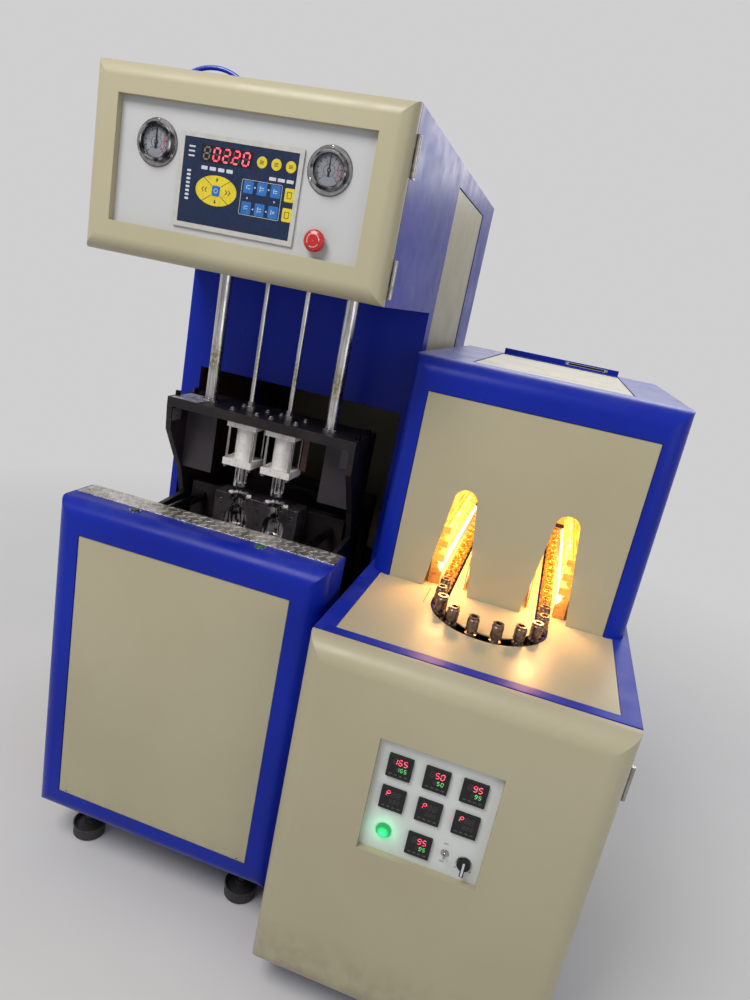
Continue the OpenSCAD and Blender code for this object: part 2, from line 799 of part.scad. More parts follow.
// Stretch cylinder in the head, with square end caps and four tie rods
module stretch_cylinder() {
    cap = 32;
    height = post_top_z - stretch_body_low;
    translate([0, nozzle_y, stretch_body_low]) difference() {
        union() {
            translate([-cap, -cap, 0]) cube([2 * cap, 2 * cap, 20]);
            translate([-cap, -cap, height - 20]) cube([2 * cap, 2 * cap, 20]);
            cylinder(h = height, r = stretch_body_r);
            for (i = [-1, 1], j = [-1, 1]) translate([i * (cap - 6), j * (cap - 6), 0])
                cylinder(h = height, r = 3, $fn = 24);
        }
        translate([0, 0, -cut]) cylinder(h = height - 11, r = stretch_piston_r + running_fit);
    }
}

// Clamp cylinder behind the fixed platen
module clamp_cylinder() {
    flange = clamp_r + 8;
    flange_t = 18;
    translate([0, clamp_body_y, clamp_axis_z]) rotate([-90, 0, 0]) difference() {
        union() {
            cylinder(h = clamp_body_l, r = clamp_r);
            for (z = [0, clamp_body_l - flange_t]) translate([-flange, -flange, z])
                cube([2 * flange, 2 * flange, flange_t]);
        }
        translate([0, 0, clamp_body_l - clamp_stroke - 14])
            cylinder(h = clamp_stroke + 30, r = clamp_rod_r + running_fit);
    }
}

// Valve island on the head's floor: a manifold with a row of valves
module valve_island() {
    valves = 5;
    valve_pitch = 30;
    left = 24 + head_sheet - blower_w / 2;
    front = head_front + 60;
    block([left, front, head_z + head_sheet],
          [left + 70, front + valves * valve_pitch + 10, head_z + head_sheet + 32]);
    for (i = [0:valves - 1]) translate([left + 6, front + 10 + i * valve_pitch, head_z + head_sheet + 32]) {
        cube([58, 20, 26]);
        translate([50, 10, 26]) cylinder(h = 9, r = 5, $fn = 24);
    }
}

module pneumatic_units() {
    color(steel) at_blower() {
        stretch_cylinder();
        clamp_cylinder();
        valve_island();
    }
}

// Plate that carries the stretch rods, with a bush for each guide post
module stretch_plate() {
    half = post_x + post_r + 12;
    depth = 2 * (post_r + 9);
    bush_low = 8;
    bush_h = stretch_plate_t + bush_low + 12;
    color(dark_steel) at_blower() translate([0, nozzle_y, 0]) {
        difference() {
            union() {
                translate([-half, -depth / 2, stretch_plate_z]) cube([2 * half, depth, stretch_plate_t]);
                for (side = [-1, 1]) translate([side * post_x, 0, stretch_plate_z - bush_low])
                    cylinder(h = bush_h, r = post_r + 7);
            }
            for (side = [-1, 1]) translate([side * post_x, 0, stretch_plate_z - bush_low - cut])
                cylinder(h = bush_h + 2 * cut, r = post_r + running_fit);
        }
        translate([0, 0, stretch_plate_top])
            cylinder(h = stretch_body_low + stretch_stroke + rod_grip - stretch_plate_top,
                     r = stretch_piston_r);
    }
}

stretch_tip_z = nozzle_tip_z + 8;
// Stretch rods: a chamfered tip, and a collar under the plate that carries them
module stretch_rods() {
    collar_z = stretch_plate_z - 16;
    collar_r = stretch_r + 5;
    color(chrome) at_blower() for (side = [-1, 1]) translate([side * nozzle_x, nozzle_y, 0])
        rotate_extrude() polygon([[0, stretch_tip_z], [stretch_r - 2, stretch_tip_z],
            [stretch_r, stretch_tip_z + 3], [stretch_r, collar_z], [collar_r, collar_z],
            [collar_r, stretch_plate_z], [0, stretch_plate_z]]);
}

cheek_throat = [nozzle_y + 52, mould_top - 50];
cheek_foot_y = cheek_throat[0] + 52;
cheek_elbow_z = nozzle_tip_z - 4;
cheek_nose_z = crosshead_z - 60;
stiffener_w = 84;
stiffener_t = 12;
seal_tie = seal_cap / 2 - 6;
seal_tie_r = 3.2;
// The crosshead plate and the plate that ties the posts' tops to the head's back
module crosshead_plates() {
    half = post_x + 34;
    color(dark_steel) at_blower() {
        difference() {
            block([-crosshead_half, crosshead_front, crosshead_z],
                  [crosshead_half, crosshead_back, crosshead_top]);
            for (side = [-1, 1]) translate([side * nozzle_x, nozzle_y, crosshead_z - cut]) {
                cylinder(h = crosshead_t + 2 * cut, r = stretch_r + 2);
                for (i = [-1, 1], j = [-1, 1]) translate([i * seal_tie, j * seal_tie, 0])
                    cylinder(h = crosshead_t + 2 * cut, r = seal_tie_r + 0.4, $fn = 24);
            }
        }
        block([-half, nozzle_y - 40, post_top_z],
              [half, column_front - head_sheet, post_top_z + post_plate_t]);
    }
}

// Cheek plates: they rise from the bed, clear the mould and reach forward under the crosshead
module crosshead_cheeks() {
    slim = crosshead_half - cheek_t;
    color(black) at_blower() for (side = [-1, 1]) {
        translate([side * (crosshead_half - cheek_t / 2), 0, 0]) along_x(cheek_t)
            polygon([[cheek_foot_y, bed_z], [cheek_throat[0] + 8, cheek_throat[1] - 60], cheek_throat,
                [crosshead_front + 82, cheek_elbow_z], [crosshead_front + 6, cheek_nose_z],
                [crosshead_front, crosshead_z], [crosshead_back, crosshead_z],
                [crosshead_back, cheek_elbow_z + 5], [crosshead_back + 60, bed_z]]);
        // Stiffener that faces the front between the cheek and the seal cylinders
        mirror([side > 0 ? 0 : 1, 0, 0])
            block([slim - stiffener_w, nozzle_y + 26, nozzle_tip_z + 3],
                  [slim, nozzle_y + 26 + stiffener_t, crosshead_z]);
    }
}

// Glands, cheek bolts, and the tie rods of the seal cylinders with their nuts
module crosshead_fittings() {
    color(steel) at_blower() {
        for (side = [-1, 1]) translate([side * nozzle_x, nozzle_y, crosshead_top]) difference() {
            union() {
                cylinder(h = 13, r = 11);
                translate([0, 0, 13]) cylinder(h = 12, r = 9.5, $fn = 6);
            }
            translate([0, 0, -cut]) cylinder(h = 40, r = stretch_r + running_fit);
        }
        for (side = [-1, 1], y = [crosshead_front + 34, crosshead_front + 124])
            translate([side * (crosshead_half - cheek_t / 2 - 1), y, crosshead_top])
                cylinder(h = 13, r = 6.5);
        for (side = [-1, 1], i = [-1, 1], j = [-1, 1])
            translate([side * nozzle_x + i * seal_tie, nozzle_y + j * seal_tie, 0]) {
                translate([0, 0, seal_bottom - 6])
                    cylinder(h = crosshead_top + 14 - seal_bottom, r = seal_tie_r, $fn = 24);
                translate([0, 0, seal_bottom - 6]) cylinder(h = 6, r = 5.6, $fn = 6);
                translate([0, 0, crosshead_top]) cylinder(h = 1.6, r = 8.4);
                translate([0, 0, crosshead_top]) cylinder(h = 6.6, r = 6.2, $fn = 6);
            }
    }
}

nozzle_side_rod = 13.5;
nozzle_side_r = 4;
module seal_cylinders() {
    half = seal_cap / 2;
    color(white) at_blower() for (side = [-1, 1]) translate([side * nozzle_x, nozzle_y, 0]) difference() {
        union() {
            block([-half, -half, crosshead_z - seal_cap_t], [half, half, crosshead_z]);
            block([-half, -half, seal_bottom], [half, half, seal_bottom + seal_cap_t]);
            translate([0, 0, seal_bottom]) cylinder(h = seal_h, r = seal_barrel_r);
        }
        translate([0, 0, seal_bottom - cut]) cylinder(h = seal_h + 2 * cut, r = stretch_r + 0.4);
        translate([0, 0, seal_bottom - cut])
            cylinder(h = nozzle_top + 3 - seal_bottom, r = nozzle_rod_r + running_fit);
        for (i = [-1, 1]) translate([i * nozzle_side_rod, 0, seal_bottom - cut])
            cylinder(h = 40, r = nozzle_side_r + running_fit, $fn = 24);
        for (i = [-1, 1], j = [-1, 1]) translate([i * seal_tie, j * seal_tie, seal_bottom - cut])
            cylinder(h = seal_h + 2 * cut, r = seal_tie_r + 0.2, $fn = 24);
    }
}

// Blow nozzle: hollow rod, two side rods against turning, and the seal head
module blow_nozzle() {
    translate([0, nozzle_y, 0]) difference() {
        union() {
            translate([0, 0, nozzle_tip_z]) cylinder(h = nozzle_top - nozzle_tip_z, r = nozzle_rod_r);
            for (i = [-1, 1]) translate([i * nozzle_side_rod, 0, nozzle_tip_z + 4])
                cylinder(h = seal_bottom + 20 - nozzle_tip_z, r = nozzle_side_r, $fn = 24);
            translate([0, 0, nozzle_tip_z]) cylinder(h = nozzle_head_h, r = 18);
        }
        translate([0, 0, nozzle_tip_z - cut]) cylinder(h = 200, r = stretch_r + 0.4);
    }
}

module blow_nozzle_left() {
    color(chrome) at_blower() translate([-nozzle_x, 0, 0]) blow_nozzle();
}

module blow_nozzle_right() {
    color(chrome) at_blower() translate([nozzle_x, 0, 0]) blow_nozzle();
}

// Outline of the bottle that the mould makes, as radius and height below the mould's top
function bottle_outline() = [[0, 1], [neck_r, 1], [neck_r, -22], [neck_r + 3, -26], [bottle_r - 3, -48],
    [bottle_r, -58], [bottle_r, -84], [bottle_r - 2.5, -88], [bottle_r - 2.5, -112], [bottle_r, -116],
    [bottle_r, 10 - bottle_h], [bottle_r - 7, -bottle_h], [10, -bottle_h], [0, 5 - bottle_h]];

// Bottle cavities and neck ring seats, cut from a mould half
neck_seat = 9;
neck_ring_w = 7;
module bottle_cavities() {
    for (side = [-1, 1]) translate([side * nozzle_x, parting_y, mould_top]) {
        rotate_extrude() polygon(bottle_outline());
        translate([0, 0, -neck_seat]) cylinder(h = 2 * neck_seat, r = neck_r + neck_ring_w);
    }
}

// One mould half, with cooling ports, cut back at the parting plane
module mould_half(front) {
    y0 = front ? parting_y - mould_half_d : parting_y;
    difference() {
        block([-mould_w / 2, y0, mould_bottom], [mould_w / 2, y0 + mould_half_d, mould_top]);
        bottle_cavities();
        for (i = [-1, 1], z = [mould_h / 4, mould_h * 0.7])
            translate([i * (mould_w / 2 + cut), y0 + mould_half_d / 2, mould_bottom + z])
                rotate([0, -90 * i, 0]) cylinder(h = 18, r = 5, $fn = 24);
    }
}

// Half of a bright neck ring, seated in the mould's top
module neck_ring(front) {
    for (side = [-1, 1]) translate([side * nozzle_x, parting_y, mould_top - neck_seat]) difference() {
        cylinder(h = neck_seat + neck_ring_top - mould_top, r = neck_r + neck_ring_w);
        translate([0, 0, -cut]) cylinder(h = 2 * neck_seat, r = neck_r);
        block([-bottle_r, front ? 0 : -bottle_r, -cut], [bottle_r, front ? bottle_r : 0, 2 * neck_seat]);
    }
}

module mould_front() {
    color(dark_steel) at_blower() translate([0, -clamp_stroke, 0]) mould_half(true);
}

module mould_rear() {
    color(dark_steel) at_blower() mould_half(false);
}

module neck_rings_front() {
    color(chrome) at_blower() translate([0, -clamp_stroke, 0]) neck_ring(true);
}

module neck_rings_rear() {
    color(chrome) at_blower() neck_ring(false);
}

module tie_bores(y0, y1, radius) {
    for (i = [-1, 1], z = tie_z) translate([i * tie_x, y0 - cut, z])
        rotate([-90, 0, 0]) cylinder(h = y1 - y0 + 2 * cut, r = radius);
}

module fixed_platen() {
    y0 = fixed_platen_y;
    color(black) at_blower() {
        difference() {
            block([-platen_half, y0, bed_z], [platen_half, y0 + fixed_platen_t, mould_top - 14]);
            tie_bores(y0, y0 + fixed_platen_t, tie_r + running_fit);
        }
    }
}

module moving_platen() {
    y0 = moving_platen_y;
    shoe_low = mould_bottom - 14 + clear_gap;
    color(black) at_blower() translate([0, -clamp_stroke, 0]) difference() {
        union() {
            block([-platen_half, y0, shoe_low], [platen_half, y0 + platen_t, mould_top - 14]);
        }
        tie_bores(y0, y0 + platen_t, tie_r);
    }
}

module tie_bars() {
    y0 = moving_platen_y;
    color(chrome) at_blower() translate([0, -clamp_stroke, 0]) for (i = [-1, 1], z = tie_z)
        translate([i * tie_x, y0, z]) rotate([-90, 0, 0])
            cylinder(h = yoke_y + clamp_stroke + yoke_t - y0, r = tie_r);
}

module clamp_yoke() {
    color(black) at_blower() {
        difference() {
            block([-platen_half, yoke_y, mould_bottom - 6], [platen_half, yoke_y + yoke_t, mould_top - 14]);
            tie_bores(yoke_y, yoke_y + yoke_t, tie_r);
        }
        translate([0, yoke_y, clamp_axis_z]) rotate([90, 0, 0])
            cylinder(h = clamp_stroke + yoke_gap + rod_grip, r = clamp_rod_r);
    }
}

roof_cover_y = [oven_front + 99, heater_d - 42];
heater_cover = [heater_door_d + 60, heater_d - 60, heater_bottom + 60, table_z - 90];

// A stadium along the chain's loop, grown or shrunk from its centre line
module loop_shape(radius) {
    translate([heater_mid, loop_front]) circle(radius, $fn = 96);
    translate([heater_mid, loop_back]) circle(radius, $fn = 96);
    translate([heater_mid - radius, loop_front]) square([2 * radius, loop_back - loop_front]);
}

heater_back = [60, heater_bottom + 60, table_z - 90];
table_back_margin = frame_t + 8;
wheel_boss_r = 25;
module heater_cabinet() {
    y0 = heater_door_d + heater_door_gap;
    door_lip = 26;
    back = heater_d - table_back_margin;
    block_half = tunnel_x - groove_half - 24;
    color(blue) at_heater() {
        difference() {
            block([0, y0, heater_bottom], [heater_w, heater_d, table_z]);
            block([door_lip, y0 - cut, heater_bottom + frame_t],
                  [heater_w - door_lip, y0 + frame_t + cut, table_z - 60]);
            block([frame_t, y0 + frame_t, heater_bottom + frame_t],
                  [heater_w - frame_t, heater_d - frame_t, deck_top - deck_t]);
            // Table opening, with a lip for the plates over the chain's room
            block([table_margin, table_front, table_z - table_t],
                  [heater_w - table_margin, back, table_z + cut]);
            block([table_margin + panel_lip, table_front + panel_lip, deck_top],
                  [heater_w - table_margin - panel_lip, back - panel_lip, table_z + cut]);
            translate([heater_mid, 0, 0])
                side_pockets(heater_w, heater_cover[0], heater_cover[1], heater_cover[2], heater_cover[3]);
            block([heater_back[0], heater_d - panel_t - panel_sink, heater_back[1]],
                  [heater_w - heater_back[0], heater_d + cut, heater_back[2]]);
            block([heater_back[0] + panel_lip, heater_d - frame_t - cut, heater_back[1] + panel_lip],
                  [heater_w - heater_back[0] - panel_lip, heater_d, heater_back[2] - panel_lip]);
        }
        // Bosses that carry the chain wheels and, with the block between them, the table's island
        for (y = [loop_front, loop_back]) translate([heater_mid, y, deck_top - cut])
            cylinder(h = table_z - table_t - deck_top + cut, r = wheel_boss_r);
        block([heater_mid - block_half, loop_front + tunnel_x + 12, deck_top - cut],
              [heater_mid + block_half, loop_back - tunnel_x - 12, table_z - table_t]);
    }
}

module heater_covers() {
    back_seam = heater_d - 120;
    cover_half = roof_cover_w / 2 - panel_gap;
    color(cream) at_heater() {
        translate([heater_mid, 0, 0])
            side_covers(heater_w, heater_cover[0], heater_cover[1], heater_cover[2], heater_cover[3]);
        block([heater_back[0] + panel_gap, heater_d - panel_sink - panel_t, heater_back[1] + panel_gap],
              [heater_w - heater_back[0] - panel_gap, heater_d - panel_sink, heater_back[2] - panel_gap]);
        // Two covers in the oven's roof, the front one with its cooling slot
        difference() {
            block([heater_mid - cover_half, roof_cover_y[0] + panel_gap, oven_top - panel_sink - panel_t],
                  [heater_mid + cover_half, back_seam, oven_top - panel_sink]);
            translate([heater_mid, oven_front + 196, oven_top]) cube([121, 6, frame_t], center = true);
        }
        block([heater_mid - cover_half, back_seam + panel_gap, oven_top - panel_sink - panel_t],
              [heater_mid + cover_half, roof_cover_y[1] - panel_gap, oven_top - panel_sink]);
    }
}

// Door: a pressed pan with a broad rounded edge and a framed window for the controls
module heater_door() {
    skin = 3;
    collar = 4;
    width = heater_w - 2 * heater_door_r;
    low = heater_bottom + heater_door_r;
    high = table_z - heater_door_r;
    color(cream) at_heater() difference() {
        translate([heater_mid, 0, 0])
            mitred_box(heater_w, heater_door_d, heater_bottom, table_z - 1, heater_door_r);
        // Hollow back, with a collar left standing round the window
        difference() {
            block([heater_door_r, skin, low], [heater_w - heater_door_r, heater_door_d + cut, high]);
            block([recess_x - collar, 0, recess_z - collar],
                  [recess_x + recess_w + collar, recess_d, recess_z + recess_h + collar]);
        }
        block([recess_x, -cut, recess_z], [recess_x + recess_w, recess_d + cut, recess_z + recess_h]);
    }
}

module heater_panel() {
    grow = 8;
    color(white) at_heater() block([recess_x - grow, recess_d, recess_z - grow],
        [recess_x + recess_w + grow, recess_d + 3, recess_z + recess_h + grow]);
}

// Places of the controllers' left edges and feet, from the recess
controller_x0 = recess_x + 22;
controller_z0 = recess_z + recess_h - 31 - controller_w;
function controller_places() = concat([for (row = [0, 1], col = [0:2])
    [controller_x0 + col * controller_pitch, controller_z0 - row * controller_pitch]],
    [[controller_x0 + 0.96 * controller_pitch, controller_z0 - 2 * controller_pitch - 8]]);

module temperature_controllers() {
    face = 6;
    color(black) at_heater() for (p = controller_places()) {
        translate([p[0] + controller_w / 2, recess_d, p[1] + controller_w / 2])
            front_plate(controller_w, controller_w, face, 2);
    }
}

lamp_x = recess_x + 43;
lamp_z = recess_z + 48;
module power_lamp() {
    color([0.1, 0.95, 0.5]) at_heater() translate([lamp_x, recess_d, lamp_z]) facing_front()
        rotate_extrude() polygon([[0, 0], [15, 0], [15, 4], [13, 5], [12.4, 8], [8, 11], [0, 12]]);
}

// Chrome nut of the toggle switch and the ring round the selector
module switch_bases() {
    color(chrome) at_heater() {
        translate([toggle_x, recess_d, toggle_z]) facing_front() {
            difference() {
                union() {
                    cylinder(h = 1.6, r = 8);
                    cylinder(h = 2.8, r = 6.6, $fn = 6);
                }
                translate([0, 0, -cut]) cylinder(h = 6, r = 2.6 + clear_gap, $fn = 24);
            }
        }
        translate([knob_x, recess_d, knob_z]) facing_front() difference() {
            cylinder(h = 2.4, r = 15.5);
            translate([0, 0, 1]) cylinder(h = 4, r = 13 + clear_gap);
        }
    }
}

toggle_x = recess_x + 166;
toggle_z = recess_z + 47;
toggle_pivot = 2.9;
module toggle_lever() {
    ball = 2.6;
    color(chrome) at_heater() translate([toggle_x, recess_d - toggle_pivot, toggle_z]) facing_front() {
        sphere(ball);
        rotate_extrude() polygon([[0, 0], [1.8, 0], [1.6, 5], [2.5, 12], [2.1, 13.4], [0, 14]]);
    }
}

knob_x = recess_x + 205;
knob_z = recess_z + 39;
module selector_knob() {
    color(black) at_heater() translate([knob_x, recess_d - 1 - clear_gap, knob_z]) facing_front() {
        cylinder(h = 6, r = 13);
        translate([-4, -20, 6]) cube([8, 33, 7]);
    }
}

module table_plates() {
    back = heater_d - table_back_margin;
    color(cream) at_heater() {
        difference() {
            block([table_margin + 1, table_front + 1, table_z - table_t],
                  [heater_w - table_margin - 1, back - 1, table_z]);
            translate([0, 0, table_z - table_t - cut])
                linear_extrude(table_t + 2 * cut) loop_shape(tunnel_x + groove_half);
        }
        translate([0, 0, table_z - table_t]) linear_extrude(table_t) loop_shape(tunnel_x - groove_half);
    }
}

// Place of a chain pin, counted from the left end of the front wheel's arc
function pin_place(i) =
    let (arc = wheel_links / 2, n = i % link_count, step = 360 / wheel_links)
    n < arc ? [heater_mid + tunnel_x * cos(180 + n * step), loop_front + tunnel_x * sin(180 + n * step)]
    : n < arc + straight_links ? [heater_mid + tunnel_x, loop_front + (n - arc) * chain_pitch]
    : n < 2 * arc + straight_links ? let (a = (n - arc - straight_links) * step)
        [heater_mid + tunnel_x * cos(a), loop_back + tunnel_x * sin(a)]
    : [heater_mid - tunnel_x, loop_back - (n - 2 * arc - straight_links) * chain_pitch];

chain_z = table_z - 30;
chain_h = 11;
plate_t = 2.4;
pin_r = 3;
link_r = 5;
inner_t = 5.6;
tooth_h = link_r + 2;
tooth_root = 7;
tooth_tip = 4.5;

// Plan of one link plate, from pin to pin along X
module link_plan() {
    translate([0, -link_r * 0.8]) square([chain_pitch, 1.6 * link_r]);
    for (x = [0, chain_pitch]) translate([x, 0]) circle(link_r, $fn = 24);
}

// Outer link: two plates and the two pins that hold them
module outer_link() {
    for (z = [0, chain_h - plate_t]) translate([0, 0, z]) linear_extrude(plate_t) link_plan();
    for (x = [0, chain_pitch]) translate([x, 0, 0]) cylinder(h = chain_h, r = pin_r, $fn = 24);
}

// Inner link between the outer plates, bored for the pins
module inner_link() {
    translate([0, 0, (chain_h - inner_t) / 2]) difference() {
        linear_extrude(inner_t) link_plan();
        for (x = [0, chain_pitch]) translate([x, 0, -cut])
            cylinder(h = inner_t + 2 * cut, r = pin_r + 0.1, $fn = 24);
    }
}

// Outline of one tooth of a chain wheel, from its root on one side to its root on the other
function tooth(rim, turn) = [for (p = [[rim, -tooth_root], [rim + tooth_h, -tooth_tip],
        [rim + tooth_h, tooth_tip], [rim, tooth_root]])
    [p[0] * cos(turn) - p[1] * sin(turn), p[0] * sin(turn) + p[1] * cos(turn)]];

// Chain wheel: its teeth stand in the windows of the outer links
module chain_wheel(y) {
    rim = tunnel_x * cos(180 / wheel_links) - link_r - clear_gap;
    turn = 720 / wheel_links;
    translate([heater_mid, y, chain_z + (chain_h - inner_t) / 2]) difference() {
        linear_extrude(inner_t)
            polygon([for (k = [0:wheel_links / 2 - 1]) each tooth(rim, 180 + (k + 0.25) * turn)]);
        translate([0, 0, -cut]) cylinder(h = inner_t + 2 * cut, r = wheel_boss_r + running_fit);
    }
}

module preform_chain() {
    color(dark_steel) at_heater() {
        for (i = [0:link_count - 1]) {
            p = pin_place(i);
            q = pin_place(i + 1);
            translate([p[0], p[1], chain_z]) rotate([0, 0, atan2(q[1] - p[1], q[0] - p[0])])
                if (i % 2 == 0) outer_link(); else inner_link();
        }
        for (y = [loop_front, loop_back]) chain_wheel(y);
    }
}

// Preform holder: a stem, a foot flange, a groove and a spool-shaped open cup
module preform_holders() {
    color(steel) at_heater() for (i = [0:2:link_count - 1]) {
        p = pin_place(i);
        translate([p[0], p[1], chain_z + chain_h]) rotate_extrude()
            polygon([[0, 0], [5, 0], [5, 12], [12, 12], [12.6, 13], [12.6, 19], [8.5, 21], [8.5, 26],
                [12.6, 28], [12.6, 51], [11.4, 53], [11.4, 58], [7, 58], [7, 42], [0, 42]]);
    }
}

// Gear motor under the deck, below the back wheel
module chain_drive() {
    half = 55;
    motor_l = 170;
    top = deck_top - deck_t;
    color([0.30, 0.36, 0.34]) at_heater() translate([heater_mid, loop_back - 40, 0]) {
        block([-half, -half, top - 90], [half, half, top]);
        translate([0, -half, top - 45]) rotate([90, 0, 0]) cylinder(h = motor_l, r = 38);
        translate([0, -half - motor_l, top - 45]) rotate([90, 0, 0]) cylinder(h = 24, r = 42);
    }
}

// Outline of one tunnel mouth in the front panel, as x and height
module tunnel_mouth() {
    top = table_z + mouth_h - mouth_r;
    translate([0, top]) circle(mouth_r);
    polygon([[-mouth_half, table_z - cut], [-mouth_half, table_z + 6], [-mouth_r, top], [mouth_r, top],
        [mouth_half, table_z + 6], [mouth_half, table_z - cut]]);
}

module oven_casing() {
    half = oven_w / 2;
    open_half = half - oven_margin;
    head = oven_top - oven_head_margin;
    depth = panel_t + panel_sink;
    color(blue) at_heater() translate([heater_mid, 0, 0]) difference() {
        translate([0, oven_front, 0]) intersection() {
            translate([0, 0, table_z]) linear_extrude(oven_top - table_z)
                front_rounded_plan(oven_w, oven_d, oven_r);
            along_x(oven_w) front_rounded_side(table_z - 60, oven_top, oven_d, oven_r, 10);
        }
        block([frame_t - half, oven_front + frame_t, table_z - cut],
              [half - frame_t, heater_d - frame_t, oven_top - frame_t]);
        // Front opening with a pocket and a lip for the cream panel
        block([-open_half, oven_front - cut, table_z - cut], [open_half, oven_front + depth, head]);
        block([panel_lip - open_half, oven_front, table_z - cut],
              [open_half - panel_lip, oven_front + frame_t + 2 * oven_r, head - panel_lip]);
        // Roof opening with a pocket and a lip for its covers
        block([-roof_cover_w / 2, roof_cover_y[0], oven_top - depth],
              [roof_cover_w / 2, roof_cover_y[1], oven_top + cut]);
        block([panel_lip - roof_cover_w / 2, roof_cover_y[0] + panel_lip, oven_top - frame_t - cut],
              [roof_cover_w / 2 - panel_lip, roof_cover_y[1] - panel_lip, oven_top]);
    }
    // Upstand behind the roof covers, with the slot of its grip
    color(blue) at_heater() translate([heater_mid, heater_d - upstand_t, oven_top]) difference() {
        block([-roof_cover_w / 2, 0, -cut], [roof_cover_w / 2, upstand_t, upstand_h]);
        block([grip_x, -cut, upstand_h / 2 - 4], [grip_x + grip_w, upstand_t + cut, upstand_h / 2 + 4]);
    }
}

module oven_front_panel() {
    half = oven_w / 2 - oven_margin - panel_gap;
    color(cream) at_heater() translate([heater_mid, 0, 0]) difference() {
        block([-half, oven_front + panel_sink, table_z],
              [half, oven_front + panel_sink + panel_t, oven_top - oven_head_margin - panel_gap]);
        for (side = [-1, 1]) translate([side * tunnel_x, oven_front + panel_sink + panel_t + cut, 0])
            facing_front() linear_extrude(panel_t + 2 * cut) tunnel_mouth();
    }
}

module oven_lamps() {
    color(glow) at_heater() for (side = [-1, 1], i = [0:lamp_count - 1])
        translate([heater_mid + side * (tunnel_x + lamp_side), lamp_y, lamp_z0 + i * lamp_pitch])
            rotate([-90, 0, 0]) cylinder(h = lamp_len, r = lamp_r, $fn = 24);
}

// Rack at one end of a tunnel's lamps: a gusset on the table, an upright and an arm to each lamp
module lamp_rack(y, thick, high) {
    arm = lamp_r + 3;
    inner = lamp_side - lamp_r - 2;
    outer = lamp_side + 20;
    low_arm = lamp_z0 - table_z;
    translate([0, y + thick, 0]) facing_front() linear_extrude(thick) {
        polygon([[inner, 0], [inner, low_arm - 3], [outer, low_arm + 26], [outer, 0]]);
        translate([outer - 6, 0]) square([6, high]);
        for (i = [1:lamp_count - 1]) translate([inner, low_arm + i * lamp_pitch - arm])
            square([outer - inner, 2 * arm]);
    }
}

// Fluted reflectors behind the lamps, the lamp racks, and the perforated inner guards
module oven_reflectors() {
    high = lamp_z0 + (lamp_count - 1) * lamp_pitch + 24 - table_z;
    end_t = 10;
    guard_x = 38;
    guard_t = 2;
    hole_pitch = 20;
    color(chrome) at_heater() for (side = [-1, 1])
        translate([heater_mid + side * tunnel_x, lamp_y, table_z]) mirror([side > 0 ? 0 : 1, 0, 0]) {
            translate([0, lamp_len, 0]) facing_front() linear_extrude(lamp_len) difference() {
                translate([lamp_side + 6, 0]) square([14, high]);
                for (i = [0:lamp_count - 1])
                    translate([lamp_side, lamp_z0 - table_z + i * lamp_pitch]) circle(16);
            }
            for (y = [-end_t - clear_gap, lamp_len + clear_gap]) lamp_rack(y, end_t, high);
            difference() {
                block([-guard_x - guard_t, 0, 0], [-guard_x, lamp_len, high]);
                for (row = [0:1], i = [1:floor(lamp_len / hole_pitch) - 1])
                    translate([-guard_x - guard_t - cut, (i + row / 2) * hole_pitch, 18 * (row + 1)])
                        rotate([0, 90, 0]) cylinder(h = guard_t + 2 * cut, r = 5, $fn = 24);
            }
        }
}

blower_cabinet();
blower_covers();
tread_plate();
start_button_left();
start_button_right();
start_button_rings();
levelling_feet();
machine_bed();
head_box();
head_door();
head_panel();
keypad_frame();
keypad_face();
gauge_cases();
gauge_dials();
gauge_lenses();
gauge_needle_left();
gauge_needle_right();
stop_button();
stop_button_body();
fixed_hinge_leaves();
head_door_leaves();
roof_air_hose();
roof_fittings();
guide_posts();
crosshead_plates();
crosshead_cheeks();
crosshead_fittings();
pneumatic_units();
stretch_plate();
stretch_rods();
seal_cylinders();
blow_nozzle_left();
blow_nozzle_right();
mould_front();
mould_rear();
neck_rings_front();
neck_rings_rear();
fixed_platen();
moving_platen();
tie_bars();
clamp_yoke();
heater_cabinet();
heater_covers();
heater_door();
heater_door_leaves();
heater_panel();
temperature_controllers();
power_lamp();
switch_bases();
toggle_lever();
selector_knob();
table_plates();
preform_chain();
preform_holders();
chain_drive();
oven_casing();
oven_front_panel();
oven_lamps();
oven_reflectors();
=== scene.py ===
import math

import bmesh
import bpy
import numpy as np
from mathutils import Matrix, Vector


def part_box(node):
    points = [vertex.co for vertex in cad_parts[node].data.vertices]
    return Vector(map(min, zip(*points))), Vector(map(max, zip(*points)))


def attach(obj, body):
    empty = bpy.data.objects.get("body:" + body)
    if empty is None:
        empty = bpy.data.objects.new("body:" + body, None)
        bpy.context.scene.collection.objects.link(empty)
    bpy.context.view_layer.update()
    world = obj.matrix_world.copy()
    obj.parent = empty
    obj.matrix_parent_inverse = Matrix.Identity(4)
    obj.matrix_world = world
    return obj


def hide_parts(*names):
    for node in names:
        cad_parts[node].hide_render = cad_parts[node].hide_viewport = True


# The looks of a two-cavity bottle blowing set: the blower on the left, its preform heater on the right.
# Lengths are millimetres in each machine's own frame, as the drawing has them; on_machine() makes them metres.

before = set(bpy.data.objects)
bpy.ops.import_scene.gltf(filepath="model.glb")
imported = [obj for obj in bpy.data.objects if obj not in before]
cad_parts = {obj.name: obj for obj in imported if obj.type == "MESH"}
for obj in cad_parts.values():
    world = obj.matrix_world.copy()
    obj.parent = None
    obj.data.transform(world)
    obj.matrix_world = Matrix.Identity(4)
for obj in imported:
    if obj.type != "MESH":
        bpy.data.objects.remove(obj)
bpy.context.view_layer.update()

# Each machine's own zero: the middle of the blower's front edge, and the heater's left front corner
BLOWER = np.array([-320.65, -518.0, 0.0])
HEATER = np.array([19.35, -654.0, 0.0])
# The heater's middle, a tunnel's distance from it, and the top of its table
HEATER_MID = 306.0
TUNNEL = 113.43
TABLE = 875.0


